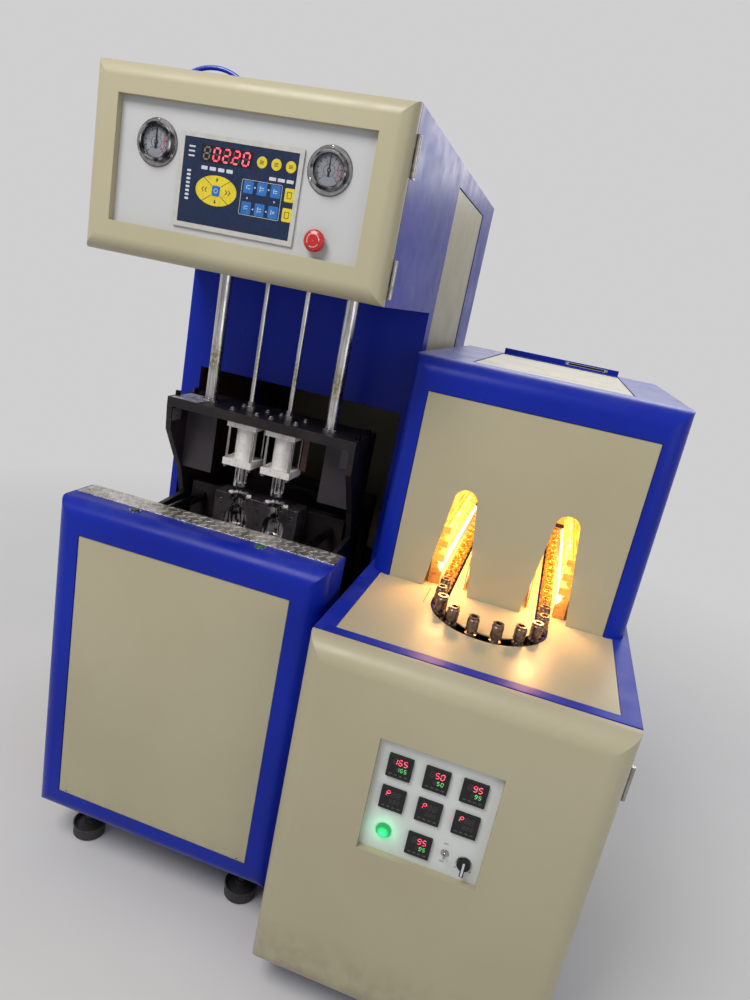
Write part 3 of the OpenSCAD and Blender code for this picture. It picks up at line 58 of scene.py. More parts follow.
def on_machine(points, machine):
    """A machine's own millimetres become shared metres: the machine's corner is added, then 1000 divides all."""
    return (np.asarray(points, float) + machine) / 1000


def edge_of(node, machine, axis, high):
    """Where one side of a drawn solid lies, in its machine's own millimetres."""
    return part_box(node)[1 if high else 0][axis] * 1000 - machine[axis]


def middle_of(node, machine):
    """The middle of a drawn solid's box to 0.1 mm, in its machine's own millimetres."""
    return np.round((np.array(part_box(node)[0]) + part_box(node)[1]) * 500 - machine, 1)


def tint(colour):
    """A colour as a screen shows it, 0 to 255, becomes the shader's linear red, green, blue and opacity."""
    c = np.array(colour[:3], float) / 255
    linear = np.where(c <= 0.04045, c / 12.92, ((c + 0.055) / 1.055) ** 2.4)
    return (*linear.tolist(), 1.0)


BACKGROUND = tint((208, 207, 208))
# The gauges' middles, to each side of the blower's middle and above the floor
GAUGE_X, GAUGE_Z = 177.0, 1686.0


# Camera

def camera():
    """The photograph's camera, worked out from the machine's straight edges: its spot, then yaw, pitch and roll."""
    yaw, pitch, roll = np.radians([12.694, 16.160, 11.375])
    ahead = np.array([-math.sin(yaw) * math.cos(pitch), math.cos(yaw) * math.cos(pitch), -math.sin(pitch)])
    right = np.array([math.cos(yaw), math.sin(yaw), 0])
    down = np.cross(ahead, right)
    across = math.cos(roll) * right - math.sin(roll) * down
    below = math.sin(roll) * right + math.cos(roll) * down
    data = bpy.data.cameras.new("camera")
    data.lens = 25.36
    data.sensor_width = 36.0
    data.clip_end = 60.0
    eye = bpy.data.objects.new("camera", data)
    eye.matrix_world = Matrix(np.column_stack([across, -below, -ahead]).tolist()).to_4x4()
    eye.location = (0.35132, -1.77909, 1.49609)
    bpy.context.scene.collection.objects.link(eye)
    bpy.context.scene.camera = eye


camera()


# Shapes

def grid_faces(rows, columns):
    """Four-sided faces between closed rings: each joins points j and j + 1 of a ring to those of the next."""
    i, j = np.arange(rows - 1)[:, None] * columns, np.arange(columns)[None, :]
    k = (j + 1) % columns
    return np.stack([i + j, i + k, i + columns + k, i + columns + j], -1).reshape(-1, 4)


def lofts(rings):
    """Closed bodies from stacks of rings, as (body, ring, point, 3): sides between the rings, a lid at each end."""
    bodies, rows, columns, _ = rings.shape
    start = np.arange(bodies)[:, None, None] * rows * columns
    sides = (grid_faces(rows, columns)[None] + start).reshape(-1, 4)
    low = (np.arange(columns)[::-1][None] + start[:, 0]).reshape(-1, columns)
    high = (np.arange(columns)[None] + (rows - 1) * columns + start[:, 0]).reshape(-1, columns)
    return rings.reshape(-1, 3), sides.tolist() + low.tolist() + high.tolist()


def piece(name, shapes, finish, body, machine, smooth=30):
    """One piece of the machine from (points, faces) shapes in the machine's own millimetres."""
    points, faces, count = [], [], 0
    for shape_points, shape_faces in shapes:
        points.append(np.asarray(shape_points, float))
        faces += [[k + count for k in face] for face in shape_faces]
        count += len(shape_points)
    mesh = bpy.data.meshes.new(name)
    mesh.from_pydata(on_machine(np.concatenate(points), machine).tolist(), [], faces)
    shell = bmesh.new()
    shell.from_mesh(mesh)
    bmesh.ops.recalc_face_normals(shell, faces=shell.faces)
    shell.to_mesh(mesh)
    shell.free()
    mesh.shade_smooth()
    mesh.set_sharp_from_angle(angle=math.radians(smooth))
    mesh.materials.append(finish)
    thing = bpy.data.objects.new(name, mesh)
    bpy.context.scene.collection.objects.link(thing)
    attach(thing, body)
    return thing


def rounded(wide, high, radius, steps=5):
    """Outline of a rectangle with round corners: a quarter circle about each corner's centre."""
    turn = np.linspace(0, math.pi / 2, steps) + np.arange(4)[:, None] * math.pi / 2
    x = (wide / 2 - radius) * np.array([1, -1, -1, 1])[:, None] + radius * np.cos(turn)
    z = (high / 2 - radius) * np.array([1, 1, -1, -1])[:, None] + radius * np.sin(turn)
    return np.stack([x, z], -1).reshape(-1, 2)


def oval(wide, high, steps=48):
    """Outline of an ellipse: half its width times the cosine, half its height times the sine."""
    turn = np.arange(steps) * 2 * math.pi / steps
    return np.stack([wide / 2 * np.cos(turn), high / 2 * np.sin(turn)], -1)


def arc_band(inner, outer, start, end, steps=14):
    """Outline of part of a flat ring: its outer arc one way, then its inner arc back."""
    turn = np.radians(np.linspace(start, end, steps))
    way = np.stack([np.cos(turn), np.sin(turn)], -1)
    return np.concatenate([way * outer, way[::-1] * inner])


# A wall's two directions, the direction through it, and which way leads into it
FACINGS = {"front": (0, 2, 1, 1), "up": (0, 1, 2, -1)}


def plates(outlines, face, depth, edge=0.1, facing="front"):
    """Thin plates on a wall: outlines in the wall's two directions, the outer rim drawn in by edge, depth into it."""
    outlines = np.asarray(outlines, float)
    outlines = outlines[None] if outlines.ndim == 2 else outlines
    first, second, through, inward = FACINGS[facing]
    middle = outlines.mean(1, keepdims=True)
    reach = np.abs(outlines - middle).max((1, 2), keepdims=True)
    drawn_in = middle + (outlines - middle) * (1 - edge / reach)
    levels = [(outlines, face + inward * depth), (outlines, face + inward * edge), (drawn_in, face)]
    rings = np.zeros((len(outlines), 3, outlines.shape[1], 3))
    for row, (outline, level) in enumerate(levels):
        rings[:, row, :, first] = outline[..., 0]
        rings[:, row, :, second] = outline[..., 1]
        rings[:, row, :, through] = level
    return lofts(rings)


def ring_plate(outer, inner, front, depth):
    """A flat ring between two outlines of the same number of points: front and back rims joined all round."""
    rims = [(outer, front + depth), (outer, front), (inner, front), (inner, front + depth)]
    rings = np.stack([np.stack([o[:, 0], np.full(len(o), y), o[:, 1]], -1) for o, y in rims])
    points = len(outer)
    ring, j = np.arange(4)[:, None], np.arange(points)[None, :]
    after, k = (ring + 1) % 4, (j + 1) % points
    faces = np.stack([ring * points + j, ring * points + k, after * points + k, after * points + j], -1)
    return rings.reshape(-1, 3), faces.reshape(-1, 4).tolist()


def at_places(outline, places):
    """Copies of one outline, moved to each place."""
    return np.asarray(outline)[None] + np.asarray(places, float)[:, None]


def turned(profile, centres, steps=24, axis=1):
    """Turned parts: radius and distance along the axis, carried round it in a full circle, one at each centre."""
    profile = np.asarray(profile, float)
    turn = np.arange(steps) * 2 * math.pi / steps
    radius, along = profile[:, 0][:, None], np.broadcast_to(profile[:, 1][:, None], (len(profile), steps))
    across = [radius * np.cos(turn), radius * np.sin(turn)]
    across.insert(axis, along)
    centres = np.atleast_2d(np.asarray(centres, float))
    return lofts(np.stack(across, -1)[None] + centres[:, None, None, :])


def blocks(corners):
    """Plain blocks with softened rims from pairs of corners: rings at the bottom, at both rims and at the top."""
    corners = np.asarray(corners, float)
    low, high = corners[:, 0], corners[:, 1]
    middle, half = (low + high) / 2, (high - low) / 2
    square = np.array([(-1, -1), (1, -1), (1, 1), (-1, 1)], float)
    soft = np.minimum(0.8, half.min(1) * 0.3)
    rings = np.zeros((len(corners), 4, 4, 3))
    for row, (up, inset) in enumerate([(-1, 1), (-1, 0), (1, 0), (1, 1)]):
        reach = half[:, :2] - inset * soft[:, None]
        rings[:, row, :, :2] = middle[:, None, :2] + square[None] * reach[:, None]
        rings[:, row, :, 2] = (middle[:, 2] + up * (half[:, 2] - (1 - inset) * soft))[:, None]
    return lofts(rings)


def tube_along(path, radius, steps=16):
    """A tube: circles carried along a path, square to its direction, with the sideways direction kept level."""
    path = np.asarray(path, float)
    ahead = np.gradient(path, axis=0)
    ahead /= np.linalg.norm(ahead, axis=1, keepdims=True)
    side = np.cross(ahead, [0.0, 1.0, 0.0])
    side /= np.linalg.norm(side, axis=1, keepdims=True)
    above = np.cross(side, ahead)
    turn = np.arange(steps) * 2 * math.pi / steps
    rings = path[:, None] + radius * (side[:, None] * np.cos(turn)[:, None] + above[:, None] * np.sin(turn)[:, None])
    return lofts(rings[None])


BARS = {"0": "abcdef", "1": "bc", "2": "abged", "3": "abgcd", "5": "afgcd", "6": "afgedc", "9": "abcdfg",
        "P": "abefg", "8": "abcdefg", " ": ""}
BAR_PLACES = {"a": (0, 1, 0), "b": (1, 0.5, 1), "c": (1, -0.5, 1), "d": (0, -1, 0), "e": (-1, -0.5, 1),
              "f": (-1, 0.5, 1), "g": (0, 0, 0)}


def figure_bars(words, x, z, high, step, lit_bars=True, lean=0.10):
    """Seven-bar figures: each bar is a six-sided outline, lying or standing, and leans with its height."""
    half_h, half_w, thick = high / 2, high * 0.27, high * 0.15
    outlines = []
    for n, letter in enumerate(words):
        wanted = BARS[letter] if lit_bars else "".join(sorted(set("abcdefg") - set(BARS[letter])))
        for bar in wanted:
            across, up, standing = BAR_PLACES[bar]
            long = (half_h if standing else 2 * half_w) * 0.84
            shape = np.array([(-long / 2, 0), (-long / 2 + thick / 2, thick / 2), (long / 2 - thick / 2, thick / 2),
                              (long / 2, 0), (long / 2 - thick / 2, -thick / 2), (-long / 2 + thick / 2, -thick / 2)])
            shape = shape[:, ::-1] if standing else shape
            outlines.append(shape + (across * half_w + n * step, up * half_h))
    outlines = np.array(outlines)
    outlines[..., 0] += lean * outlines[..., 1]
    return outlines + (x, z)


def lettering(words, x, z, high, front, machine, name, body, finish):
    """Plain printed words or numbers on a wall that faces the operator."""
    curve = bpy.data.curves.new(name, "FONT")
    curve.body = words
    curve.size = high / 1000 * 1.35
    curve.extrude = 0.00006
    curve.align_x = "CENTER"
    curve.align_y = "CENTER"
    curve.resolution_u = 3
    text = bpy.data.objects.new(name, curve)
    bpy.context.scene.collection.objects.link(text)
    bpy.context.view_layer.update()
    mesh = bpy.data.meshes.new_from_object(text.evaluated_get(bpy.context.evaluated_depsgraph_get()))
    bpy.data.objects.remove(text)
    flat = np.array([v.co for v in mesh.vertices], float)
    stood = np.stack([flat[:, 0], -flat[:, 2], flat[:, 1]], -1)
    mesh.vertices.foreach_set("co", (stood + on_machine((x, front, z), machine)).astype(np.float32).ravel())
    mesh.materials.clear()
    mesh.materials.append(finish)
    made = bpy.data.objects.new(name, mesh)
    bpy.context.scene.collection.objects.link(made)
    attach(made, body)
    return made


# Finishes

def feed(tree, socket, value):
    """A socket takes another node's output, or a plain value."""
    if isinstance(value, bpy.types.NodeSocket):
        tree.links.new(value, socket)
    else:
        socket.default_value = value


def new_node(tree, kind, inputs, **settings):
    """A shader node with these settings, and its inputs fed by name or number."""
    node = tree.nodes.new(kind)
    for name, value in settings.items():
        setattr(node, name, value)
    for socket, value in inputs.items():
        feed(tree, node.inputs[socket], value)
    return node


class Finish:
    """One finish: a material with short ways to add the patterns that paint, steel and plastic share."""

    def __init__(self, name, colour, roughness, metallic=0.0, **levels):
        self.material = bpy.data.materials.new(name)
        self.material.use_nodes = True
        self.tree = self.material.node_tree
        self.shader = self.tree.nodes["Principled BSDF"]
        self.base = tint(colour)
        self.normal = None
        self.shade(base_color=self.base, roughness=roughness, metallic=metallic, **levels)

    def shade(self, **levels):
        """The shader's own inputs, with _ for each space in their names."""
        for socket, value in levels.items():
            feed(self.tree, self.shader.inputs[socket.replace("_", " ").title().replace("Ior", "IOR")], value)

    def add(self, kind, inputs, output=0, **settings):
        """One output of a new node."""
        return new_node(self.tree, kind, inputs, **settings).outputs[output]

    def where(self, stretch=(1, 1, 1)):
        """Object coordinates, stretched so that a pattern can run along a part."""
        place = self.add("ShaderNodeTexCoord", {}, "Object")
        return self.add("ShaderNodeMapping", {"Vector": place, "Scale": stretch}, "Vector")

    def coordinates(self):
        """The object coordinates as three numbers, in shared metres."""
        return new_node(self.tree, "ShaderNodeSeparateXYZ", {0: self.where()}).outputs

    def noise(self, size, detail=3.0, coarse=0.55, stretch=(1, 1, 1), warp=0.0):
        """Cloudy noise whose lumps are about size millimetres across."""
        return self.add("ShaderNodeTexNoise", {"Vector": self.where(stretch), "Scale": 1000 / size, "Detail": detail,
                                               "Roughness": coarse, "Distortion": warp}, "Fac")

    def clouds(self, noise, *levels):
        """Cloudy patches: noise() of these numbers, taken between() these levels."""
        return self.between(self.noise(*noise), *levels)

    def waves(self, size, direction):
        """Even ridges, one every size millimetres along a direction."""
        return self.add("ShaderNodeTexWave", {"Vector": self.where(), "Scale": 1000 * math.pi / 10 / size}, "Fac",
                        wave_type="BANDS", bands_direction=direction, wave_profile="SIN")

    def between(self, value, low, high, out_low=0.0, out_high=1.0):
        """A value from low to high becomes out_low to out_high, and stays there beyond."""
        return self.add("ShaderNodeMapRange", {"Value": value, "From Min": low, "From Max": high, "To Min": out_low,
                                               "To Max": out_high}, "Result", clamp=True)

    def maths(self, operation, a, b=0.0, c=0.0):
        """A sum, product or other operation on up to three numbers."""
        return self.add("ShaderNodeMath", {0: a, 1: b, 2: c}, "Value", operation=operation)

    def both(self, a, b):
        """The product of two masks: 1 only where both are 1."""
        return self.maths("MULTIPLY", a, b)

    def flipped(self, mask):
        """1 where a mask is 0, and 0 where it is 1."""
        return self.maths("SUBTRACT", 1.0, mask)

    def over(self, below, above, cover):
        """One colour laid over another where cover is 1."""
        above = tint(above) if isinstance(above, tuple) else above
        return self.add("ShaderNodeMix", {0: cover, 6: below, 7: above}, 2, data_type="RGBA", clamp_factor=True)

    def facing_up(self):
        """1 on faces that look up, where dust lies."""
        normal = self.add("ShaderNodeNewGeometry", {}, "Normal")
        return self.between(self.add("ShaderNodeSeparateXYZ", {0: normal}, "Z"), 0.5, 0.95)

    def along(self, axis, low, high):
        """0 below low and 1 above high along an axis, in shared millimetres."""
        return self.between(self.coordinates()[axis], low / 1000, high / 1000)

    def inside(self, machine, *rooms):
        """1 inside any of these rooms, each given by two corners in a machine's own millimetres."""
        place = self.coordinates()
        found = 0.0
        for room in rooms:
            low, high = on_machine(room, machine)
            within = 1.0
            for axis, (middle, reach) in enumerate(zip((low + high) / 2, (high - low) / 2)):
                near = self.maths("COMPARE", place[axis], float(middle), float(reach))
                within = self.maths("MULTIPLY", near, within)
            found = self.maths("MAXIMUM", within, found)
        return found

    def away(self, machine, x, z, mirrored=False):
        """How far a point is from a front-to-back axis, in metres; mirrored takes the nearer of x and -x."""
        place = self.coordinates()
        across = self.maths("SUBTRACT", place["X"], float(machine[0]) / 1000)
        across = self.maths("ABSOLUTE", across) if mirrored else across
        aside = self.maths("SUBTRACT", across, float(x) / 1000)
        above = self.maths("SUBTRACT", place["Z"], float(z) / 1000)
        squares = self.maths("ADD", self.maths("MULTIPLY", aside, aside), self.maths("MULTIPLY", above, above))
        return self.maths("SQRT", squares)

    def soften(self, radius):
        """Edges look rounded to this radius in millimetres; also gives how close a point is to an edge."""
        self.normal = self.add("ShaderNodeBevel", {"Radius": radius / 1000}, "Normal", samples=4)
        normal = self.add("ShaderNodeNewGeometry", {}, "Normal")
        turn = self.add("ShaderNodeVectorMath", {0: self.normal, 1: normal}, "Value", operation="DOT_PRODUCT")
        return self.between(turn, 0.995, 0.80)

    def relief(self, height, depth, strength=1.0):
        """Bumps and dents of this depth in millimetres, over those already there."""
        inputs = {"Strength": strength, "Distance": depth / 1000, "Height": height}
        if self.normal is not None:
            inputs["Normal"] = self.normal
        self.normal = self.add("ShaderNodeBump", inputs, "Normal")

    def done(self, colour=None, roughness=None):
        """Joins the colour, roughness and relief to the shader."""
        joined = {"base_color": colour, "roughness": roughness, "normal": self.normal}
        self.shade(**{socket: value for socket, value in joined.items() if value is not None})
        return self.material


def enamel(name, colour, deeper, worn_highlit_edge, gloss, dusty, shine, dark_rooms=()):
    """Baked enamel on sheet steel: fine orange peel, slow changes of tone, edges lighter where rubbed and as a
    painted highlight, dust, darker patches near the floor, and painted shade in the rooms inside.
    """
    f = Finish(name, colour, gloss, specular_ior_level=shine)
    edges = f.soften(1.6)
    paint = f.over(f.base, deeper, f.clouds((520, 2, 0.5), 0.35, 0.70, 0.0, 0.8))
    paint = f.over(paint, deeper, f.clouds((38, 3, 0.6), 0.50, 0.75, 0.0, 0.16))
    # Lighter edges: partly wear where rubbed, partly a painted highlight along the rounded edges
    rubbed = f.both(edges, f.clouds((9, 4, 0.7), 0.50, 0.66))
    paint = f.over(paint, worn_highlit_edge, f.both(rubbed, 0.5))
    dust = f.both(f.facing_up(), f.clouds((110, 5, 0.6), 0.38, 0.72, 0.0, dusty))
    paint = f.over(paint, (168, 166, 172), dust)
    # Darker patches near the floor
    near_floor = f.flipped(f.along("Z", 84, 240))
    paint = f.over(paint, (58, 54, 50), f.both(near_floor, f.clouds((34, 4, 0.6), 0.40, 0.75, 0.1, 0.5)))
    # Painted shade inside the rooms: each room's colour with darker patches, orange-brown in the oven
    for machine, shade, rooms in dark_rooms:
        painted_shade = f.over(tint(shade), (58, 36, 32), f.clouds((70, 4, 0.6), 0.35, 0.65))
        paint = f.over(paint, painted_shade, f.inside(machine, *rooms))
    f.relief(f.noise(3.4, 2, 0.5), 0.05, 0.5)
    f.relief(f.noise(210, 2, 0.4), 0.8, 0.06)
    haze = f.clouds((75, 4, 0.6), 0.3, 0.75, gloss - 0.06, gloss + 0.10)
    return f.done(paint, f.maths("ADD", haze, f.both(dust, 0.35)))


def brushed(name, colour, dull, rough, streaks, grain, stain=None, metallic=1.0, dark_rooms=()):
    """Bare or plated metal: streaks along one direction, cloudy dull patches, bright worn edges."""
    f = Finish(name, colour, rough, metallic)
    edges = f.soften(0.8)
    lines = f.noise(grain, 4, 0.65, stretch=streaks)
    patches = f.noise(28, 5, 0.6)
    metal = f.over(f.base, dull, f.between(lines, 0.38, 0.68, 0.0, 0.75))
    metal = f.over(metal, dull, f.between(patches, 0.50, 0.74, 0.0, 0.7))
    if stain:
        metal = f.over(metal, stain, f.between(f.noise(16, 6, 0.7, warp=1.0), 0.54, 0.70, 0.0, 0.75))
    metal = f.over(metal, (226, 226, 224), f.both(edges, f.between(f.noise(7), 0.42, 0.60, 0.0, 0.5)))
    # Dark rooms: the bolt heads' own black on bright steel, painted shade in the clamp room on the cylinders
    for machine, shade, rooms in dark_rooms:
        metal = f.over(metal, shade, f.inside(machine, *rooms))
    f.relief(lines, 0.06, 0.5)
    f.relief(f.noise(5, 3), 0.05, 0.3)
    return f.done(metal, f.between(patches, 0.35, 0.7, rough - 0.08, rough + 0.16))


def moulded(name, colour, deeper, rough, grain=0.9, worn=None, **levels):
    """Moulded plastic or rubber: fine grain, a slow change of tone, and lighter rubbed edges."""
    f = Finish(name, colour, rough, **levels)
    edges = f.soften(0.5)
    body = f.over(f.base, deeper, f.clouds((14, 4, 0.6), 0.4, 0.7, 0.0, 0.8))
    if worn:
        body = f.over(body, worn, f.both(edges, f.between(f.noise(3), 0.45, 0.62, 0.0, 0.5)))
    f.relief(f.noise(grain, 2, 0.5), 0.04, 0.5)
    return f.done(body, f.clouds((9, 4), 0.35, 0.7, rough - 0.06, rough + 0.10))


def lit(name, colour, strength, core, size=6.0):
    """Something that shines by itself, with slow patches of a brighter core colour."""
    f = Finish(name, (12, 12, 12), 0.35, emission_strength=strength)
    glow = f.over(tint(colour), core, f.between(f.noise(size, 2), 0.38, 0.66))
    f.shade(emission_color=glow)
    return f.done(f.over(f.base, colour, f.between(f.noise(size, 2), 0.3, 0.8, 0.2, 0.6)))


def pilot_lens():
    """The green pilot light: a lighter disc in its middle, deeper green towards its rim, fine rings in the lens."""
    f = Finish("pilot_green", (8, 90, 44), 0.22, emission_strength=1.0)
    x, _, z = middle_of("power_lamp", HEATER)
    away = f.away(HEATER, x, z)
    glow = f.over(tint((70, 246, 160)), (16, 208, 106), f.between(away, 0.003, 0.009))
    glow = f.over(glow, (10, 150, 76), f.between(away, 0.010, 0.0125))
    f.shade(emission_color=glow)
    f.relief(f.maths("SINE", f.maths("MULTIPLY", away, 4200.0)), 0.10, 0.4)
    return f.done(f.over(f.base, (4, 60, 30), f.clouds((4, 2), 0.4, 0.6)))


def blackened_steel():
    """Oil-blackened plate: near black, with grey rubs along its edges, faint scratches and oily patches."""
    f = Finish("blackened_steel", (31, 27, 29), 0.44, 0.15, specular_ior_level=0.30)
    edges = f.soften(1.2)
    steel = f.over(f.base, (46, 41, 43), f.clouds((60, 4, 0.6), 0.42, 0.7, 0.0, 0.85))
    steel = f.over(steel, (54, 34, 28), f.clouds((75, 5, 0.65), 0.54, 0.74, 0.0, 0.7))
    # Painted light on the stiffeners' faces, and a near-white mottled patch on the left end of the crosshead's top
    lit_faces = f.inside(BLOWER, ((-237, 384, 960), (-150, 387, 1131)), ((150, 384, 960), (237, 387, 1131)))
    steel = f.over(steel, (66, 61, 66), lit_faces)
    bright_top_patch = f.inside(BLOWER, ((-242, 302, 1154), (-170, 400, 1156)))
    steel = f.over(steel, (206, 203, 206), f.both(bright_top_patch, f.clouds((26, 3), 0.34, 0.60, 0.3, 1.0)))
    scratches = f.between(f.noise(2.2, 2, 0.5, stretch=(0.06, 1, 1)), 0.66, 0.74)
    steel = f.over(steel, (104, 100, 100), f.both(scratches, 0.3))
    steel = f.over(steel, (112, 108, 108), f.both(edges, f.clouds((8, 4), 0.45, 0.62, 0.0, 0.7)))
    f.relief(f.noise(6, 4, 0.6), 0.12, 0.5)
    return f.done(steel, f.clouds((40, 5), 0.35, 0.7, 0.34, 0.58))


def mould_steel():
    """Machined mould block: dark grey outside with milled lines and bright edges; its mirror-smooth bottle hollows
    carry a painted reflection of bright and dark streaks.
    """
    f = Finish("mould_steel", (80, 75, 79), 0.34, 0.5)
    edges = f.soften(1.0)
    milling = f.noise(1.6, 2, 0.5, stretch=(1, 1, 0.04))
    steel = f.over(f.base, (46, 42, 46), f.clouds((34, 5, 0.65), 0.40, 0.66, 0.0, 0.9))
    steel = f.over(steel, (118, 112, 116), f.between(milling, 0.5, 0.7, 0.0, 0.35))
    steel = f.over(steel, (196, 192, 190), f.both(edges, f.clouds((6, 4), 0.40, 0.58, 0.0, 0.8)))
    hollow = f.inside(BLOWER, ((-93, 360.4, 700), (-11, 402, 926)), ((11, 360.4, 700), (93, 402, 926)))
    # Painted reflection in the hollows: bright and dark streaks up and down
    hollow_reflection = f.over(tint((196, 192, 194)), (30, 24, 24), f.clouds((9, 4, 0.7, (1, 1, 0.22)), 0.44, 0.54))
    steel = f.over(steel, hollow_reflection, hollow)
    f.relief(milling, 0.05, 0.5)
    return f.done(steel, f.clouds((22, 5), 0.35, 0.7, 0.22, 0.46))


def greased_chrome(name, colour, streak, rough):
    """Chromed rod: bright, with long streaks along its length, dark smears, and grease above the crosshead."""
    f = Finish(name, colour, rough, 1.0)
    f.soften(0.6)
    streaks = f.noise(4.0, 4, 0.6, stretch=(1, 1, 0.035))
    rod = f.over(f.base, streak, f.between(streaks, 0.44, 0.62, 0.0, 0.9))
    rod = f.over(rod, (66, 60, 54), f.between(f.noise(9, 5, 0.7, stretch=(1, 1, 0.12)), 0.60, 0.72, 0, 0.85))
    low, high = f.along("Z", 1225, 1250), f.along("Z", 1282, 1320)
    greased = f.both(f.maths("SUBTRACT", low, high), f.clouds((9, 4), 0.40, 0.60, 0.1, 0.9))
    rod = f.over(rod, (132, 124, 78), greased)
    f.relief(streaks, 0.04, 0.4)
    return f.done(rod, f.between(f.noise(12, 5, 0.65, stretch=(1, 1, 0.3)), 0.35, 0.7, rough - 0.05, rough + 0.2))


def chequer_plate():
    """Bright aluminium tread plate, worn, with brown patches that are partly dirt in its hollows and partly a painted
    brown reflection.
    """
    f = Finish("chequer_plate", (214, 210, 204), 0.32, 0.8)
    edges = f.soften(0.7)
    top = edge_of("tread_plate", BLOWER, 2, True)
    raised = f.along("Z", top - 0.55, top - 0.15)
    # Brown patches: partly dirt, partly a painted brown reflection
    plate = f.over(f.base, (120, 106, 92), f.clouds((40, 5, 0.65), 0.42, 0.66, 0.0, 0.9))
    plate = f.over(plate, (64, 52, 44), f.clouds((14, 5, 0.7), 0.52, 0.70, 0.0, 0.7))
    plate = f.over(plate, (210, 206, 202), f.both(raised, f.clouds((22, 3), 0.35, 0.6, 0.3, 0.9)))
    plate = f.over(plate, (236, 236, 232), f.both(edges, 0.6))
    f.relief(f.noise(2.5, 3), 0.08, 0.5)
    return f.done(plate, f.clouds((18, 5), 0.35, 0.7, 0.20, 0.44))


def clear_glass():
    """The gauge's window: thin clear glass with a faint smear."""
    f = Finish("clear_glass", (250, 252, 255), 0.03, transmission_weight=1.0, ior=1.05)
    f.relief(f.noise(20, 2), 0.02, 0.2)
    return f.done(None, f.clouds((8, 4), 0.45, 0.75, 0.02, 0.12))


def glowing_quartz():
    """Infra-red lamps at work: the lowest one nearly white, the others a dimmer orange, mottled along the tube."""
    f = Finish("glowing_quartz", (120, 84, 40), 0.2, emission_strength=3.2)
    dim = f.over(tint((150, 104, 40)), (176, 132, 62), f.clouds((40, 2), 0.35, 0.65))
    hot = f.over(tint((250, 214, 140)), (255, 232, 180), f.clouds((60, 2), 0.35, 0.65))
    glow = f.over(hot, dim, f.along("Z", 918, 926))
    f.shade(emission_color=glow)
    return f.done(f.over(f.base, (190, 160, 110), f.clouds((20, 2), 0.4, 0.6)))


def reflector_sheet():
    """Gilded reflector with its lamps' light painted on as a glow: fine ribs, orange patches, a painted near-white
    highlight band, and painted shade near the table.
    """
    f = Finish("reflector_sheet", (226, 176, 96), 0.30, 0.85, emission_strength=1.0)
    ribs = f.waves(9.5, "Z")
    # Painted glow: the lamps' light on the sheet as emission, brighter on the ribs, with orange patches
    painted_glow = f.over(tint((236, 152, 40)), (255, 208, 104), f.between(ribs, 0.35, 0.8))
    painted_glow = f.over(painted_glow, (206, 112, 30), f.between(f.noise(46, 4, 0.6, stretch=(1, 0.35, 1)), 0.48, 0.70, 0.0, 0.7))
    # Painted shade near the table, a painted near-white highlight band, and painted dark-red shade low on each rack
    # under its glow
    low = f.flipped(f.along("Z", 884, 925))
    painted_glow = f.over(painted_glow, (150, 60, 18), f.both(low, f.clouds((24, 3), 0.3, 0.6, 0.3, 0.8)))
    band = f.both(f.along("Z", 888, 896), f.flipped(f.along("Z", 922, 934)))
    painted_glow = f.over(painted_glow, (255, 240, 176), f.both(band, 0.92))
    rack_shade_and_glow = f.inside(HEATER, ((100, 424, 874), (520, 436.4, 1040)))
    painted_glow = f.over(painted_glow, f.over(tint((104, 32, 16)), (226, 150, 54), f.along("Z", 900, 932)), rack_shade_and_glow)
    f.shade(emission_color=painted_glow)
    sheet = f.over(f.base, (150, 96, 44), f.clouds((60, 5, 0.65), 0.42, 0.7, 0.0, 0.8))
    f.relief(ribs, 1.2, 0.8)
    return f.done(sheet, f.clouds((30, 4), 0.35, 0.7, 0.2, 0.42))


def hood_sheet():
    """Gilded sheet over the tunnels with a painted glow for the lamps below it, which turns orange further in."""
    f = Finish("hood_sheet", (226, 176, 96), 0.32, 0.8, emission_strength=1.0)
    streaks = f.noise(30, 3, 0.6, stretch=(1, 0.2, 1))
    # Painted glow as emission, more orange further into the oven
    painted_glow = f.over(tint((240, 166, 52)), (255, 216, 116), f.between(streaks, 0.38, 0.62))
    deep = f.along("Y", -150, 330)
    painted_glow = f.over(painted_glow, (214, 124, 34), f.both(deep, 0.7))
    f.shade(emission_color=painted_glow)
    f.relief(f.noise(12, 3), 0.2, 0.4)
    return f.done(f.over(f.base, (160, 104, 50), f.clouds((50, 4), 0.42, 0.7)), 0.32)


def oiled_steel(name, colour, dark, rust_brown, rough):
    """Chain and holders: dark steel under oil, brown in places, bright where the parts rub, and inside the oven
    painted lamp light.
    """
    f = Finish(name, colour, rough, 0.85)
    edges = f.soften(0.5)
    steel = f.over(f.base, dark, f.clouds((12, 5, 0.65), 0.42, 0.66, 0.0, 0.9))
    steel = f.over(steel, rust_brown, f.between(f.noise(9, 6, 0.7, warp=1.0), 0.54, 0.72, 0.0, 0.7))
    steel = f.over(steel, (216, 200, 186), f.both(edges, f.between(f.noise(4), 0.4, 0.6, 0.2, 0.8)))
    # Inside the oven, every part gets painted lamp light: a gold colour and a painted glow
    lamp_lit_room = f.inside(HEATER, ((60, 398, 876), (550, 1228, 1380)))
    painted_lamp_light = f.over(tint((236, 178, 84)), (150, 92, 40), f.clouds((7, 4), 0.42, 0.62))
    steel = f.over(steel, painted_lamp_light, lamp_lit_room)
    glow = f.over(tint((214, 138, 48)), (112, 52, 20), f.clouds((7, 4), 0.42, 0.6))
    f.shade(emission_color=glow, emission_strength=f.both(lamp_lit_room, 0.42))
    f.relief(f.noise(3, 3), 0.08, 0.5)
    return f.done(steel, f.clouds((8, 4), 0.35, 0.7, rough - 0.08, rough + 0.16))


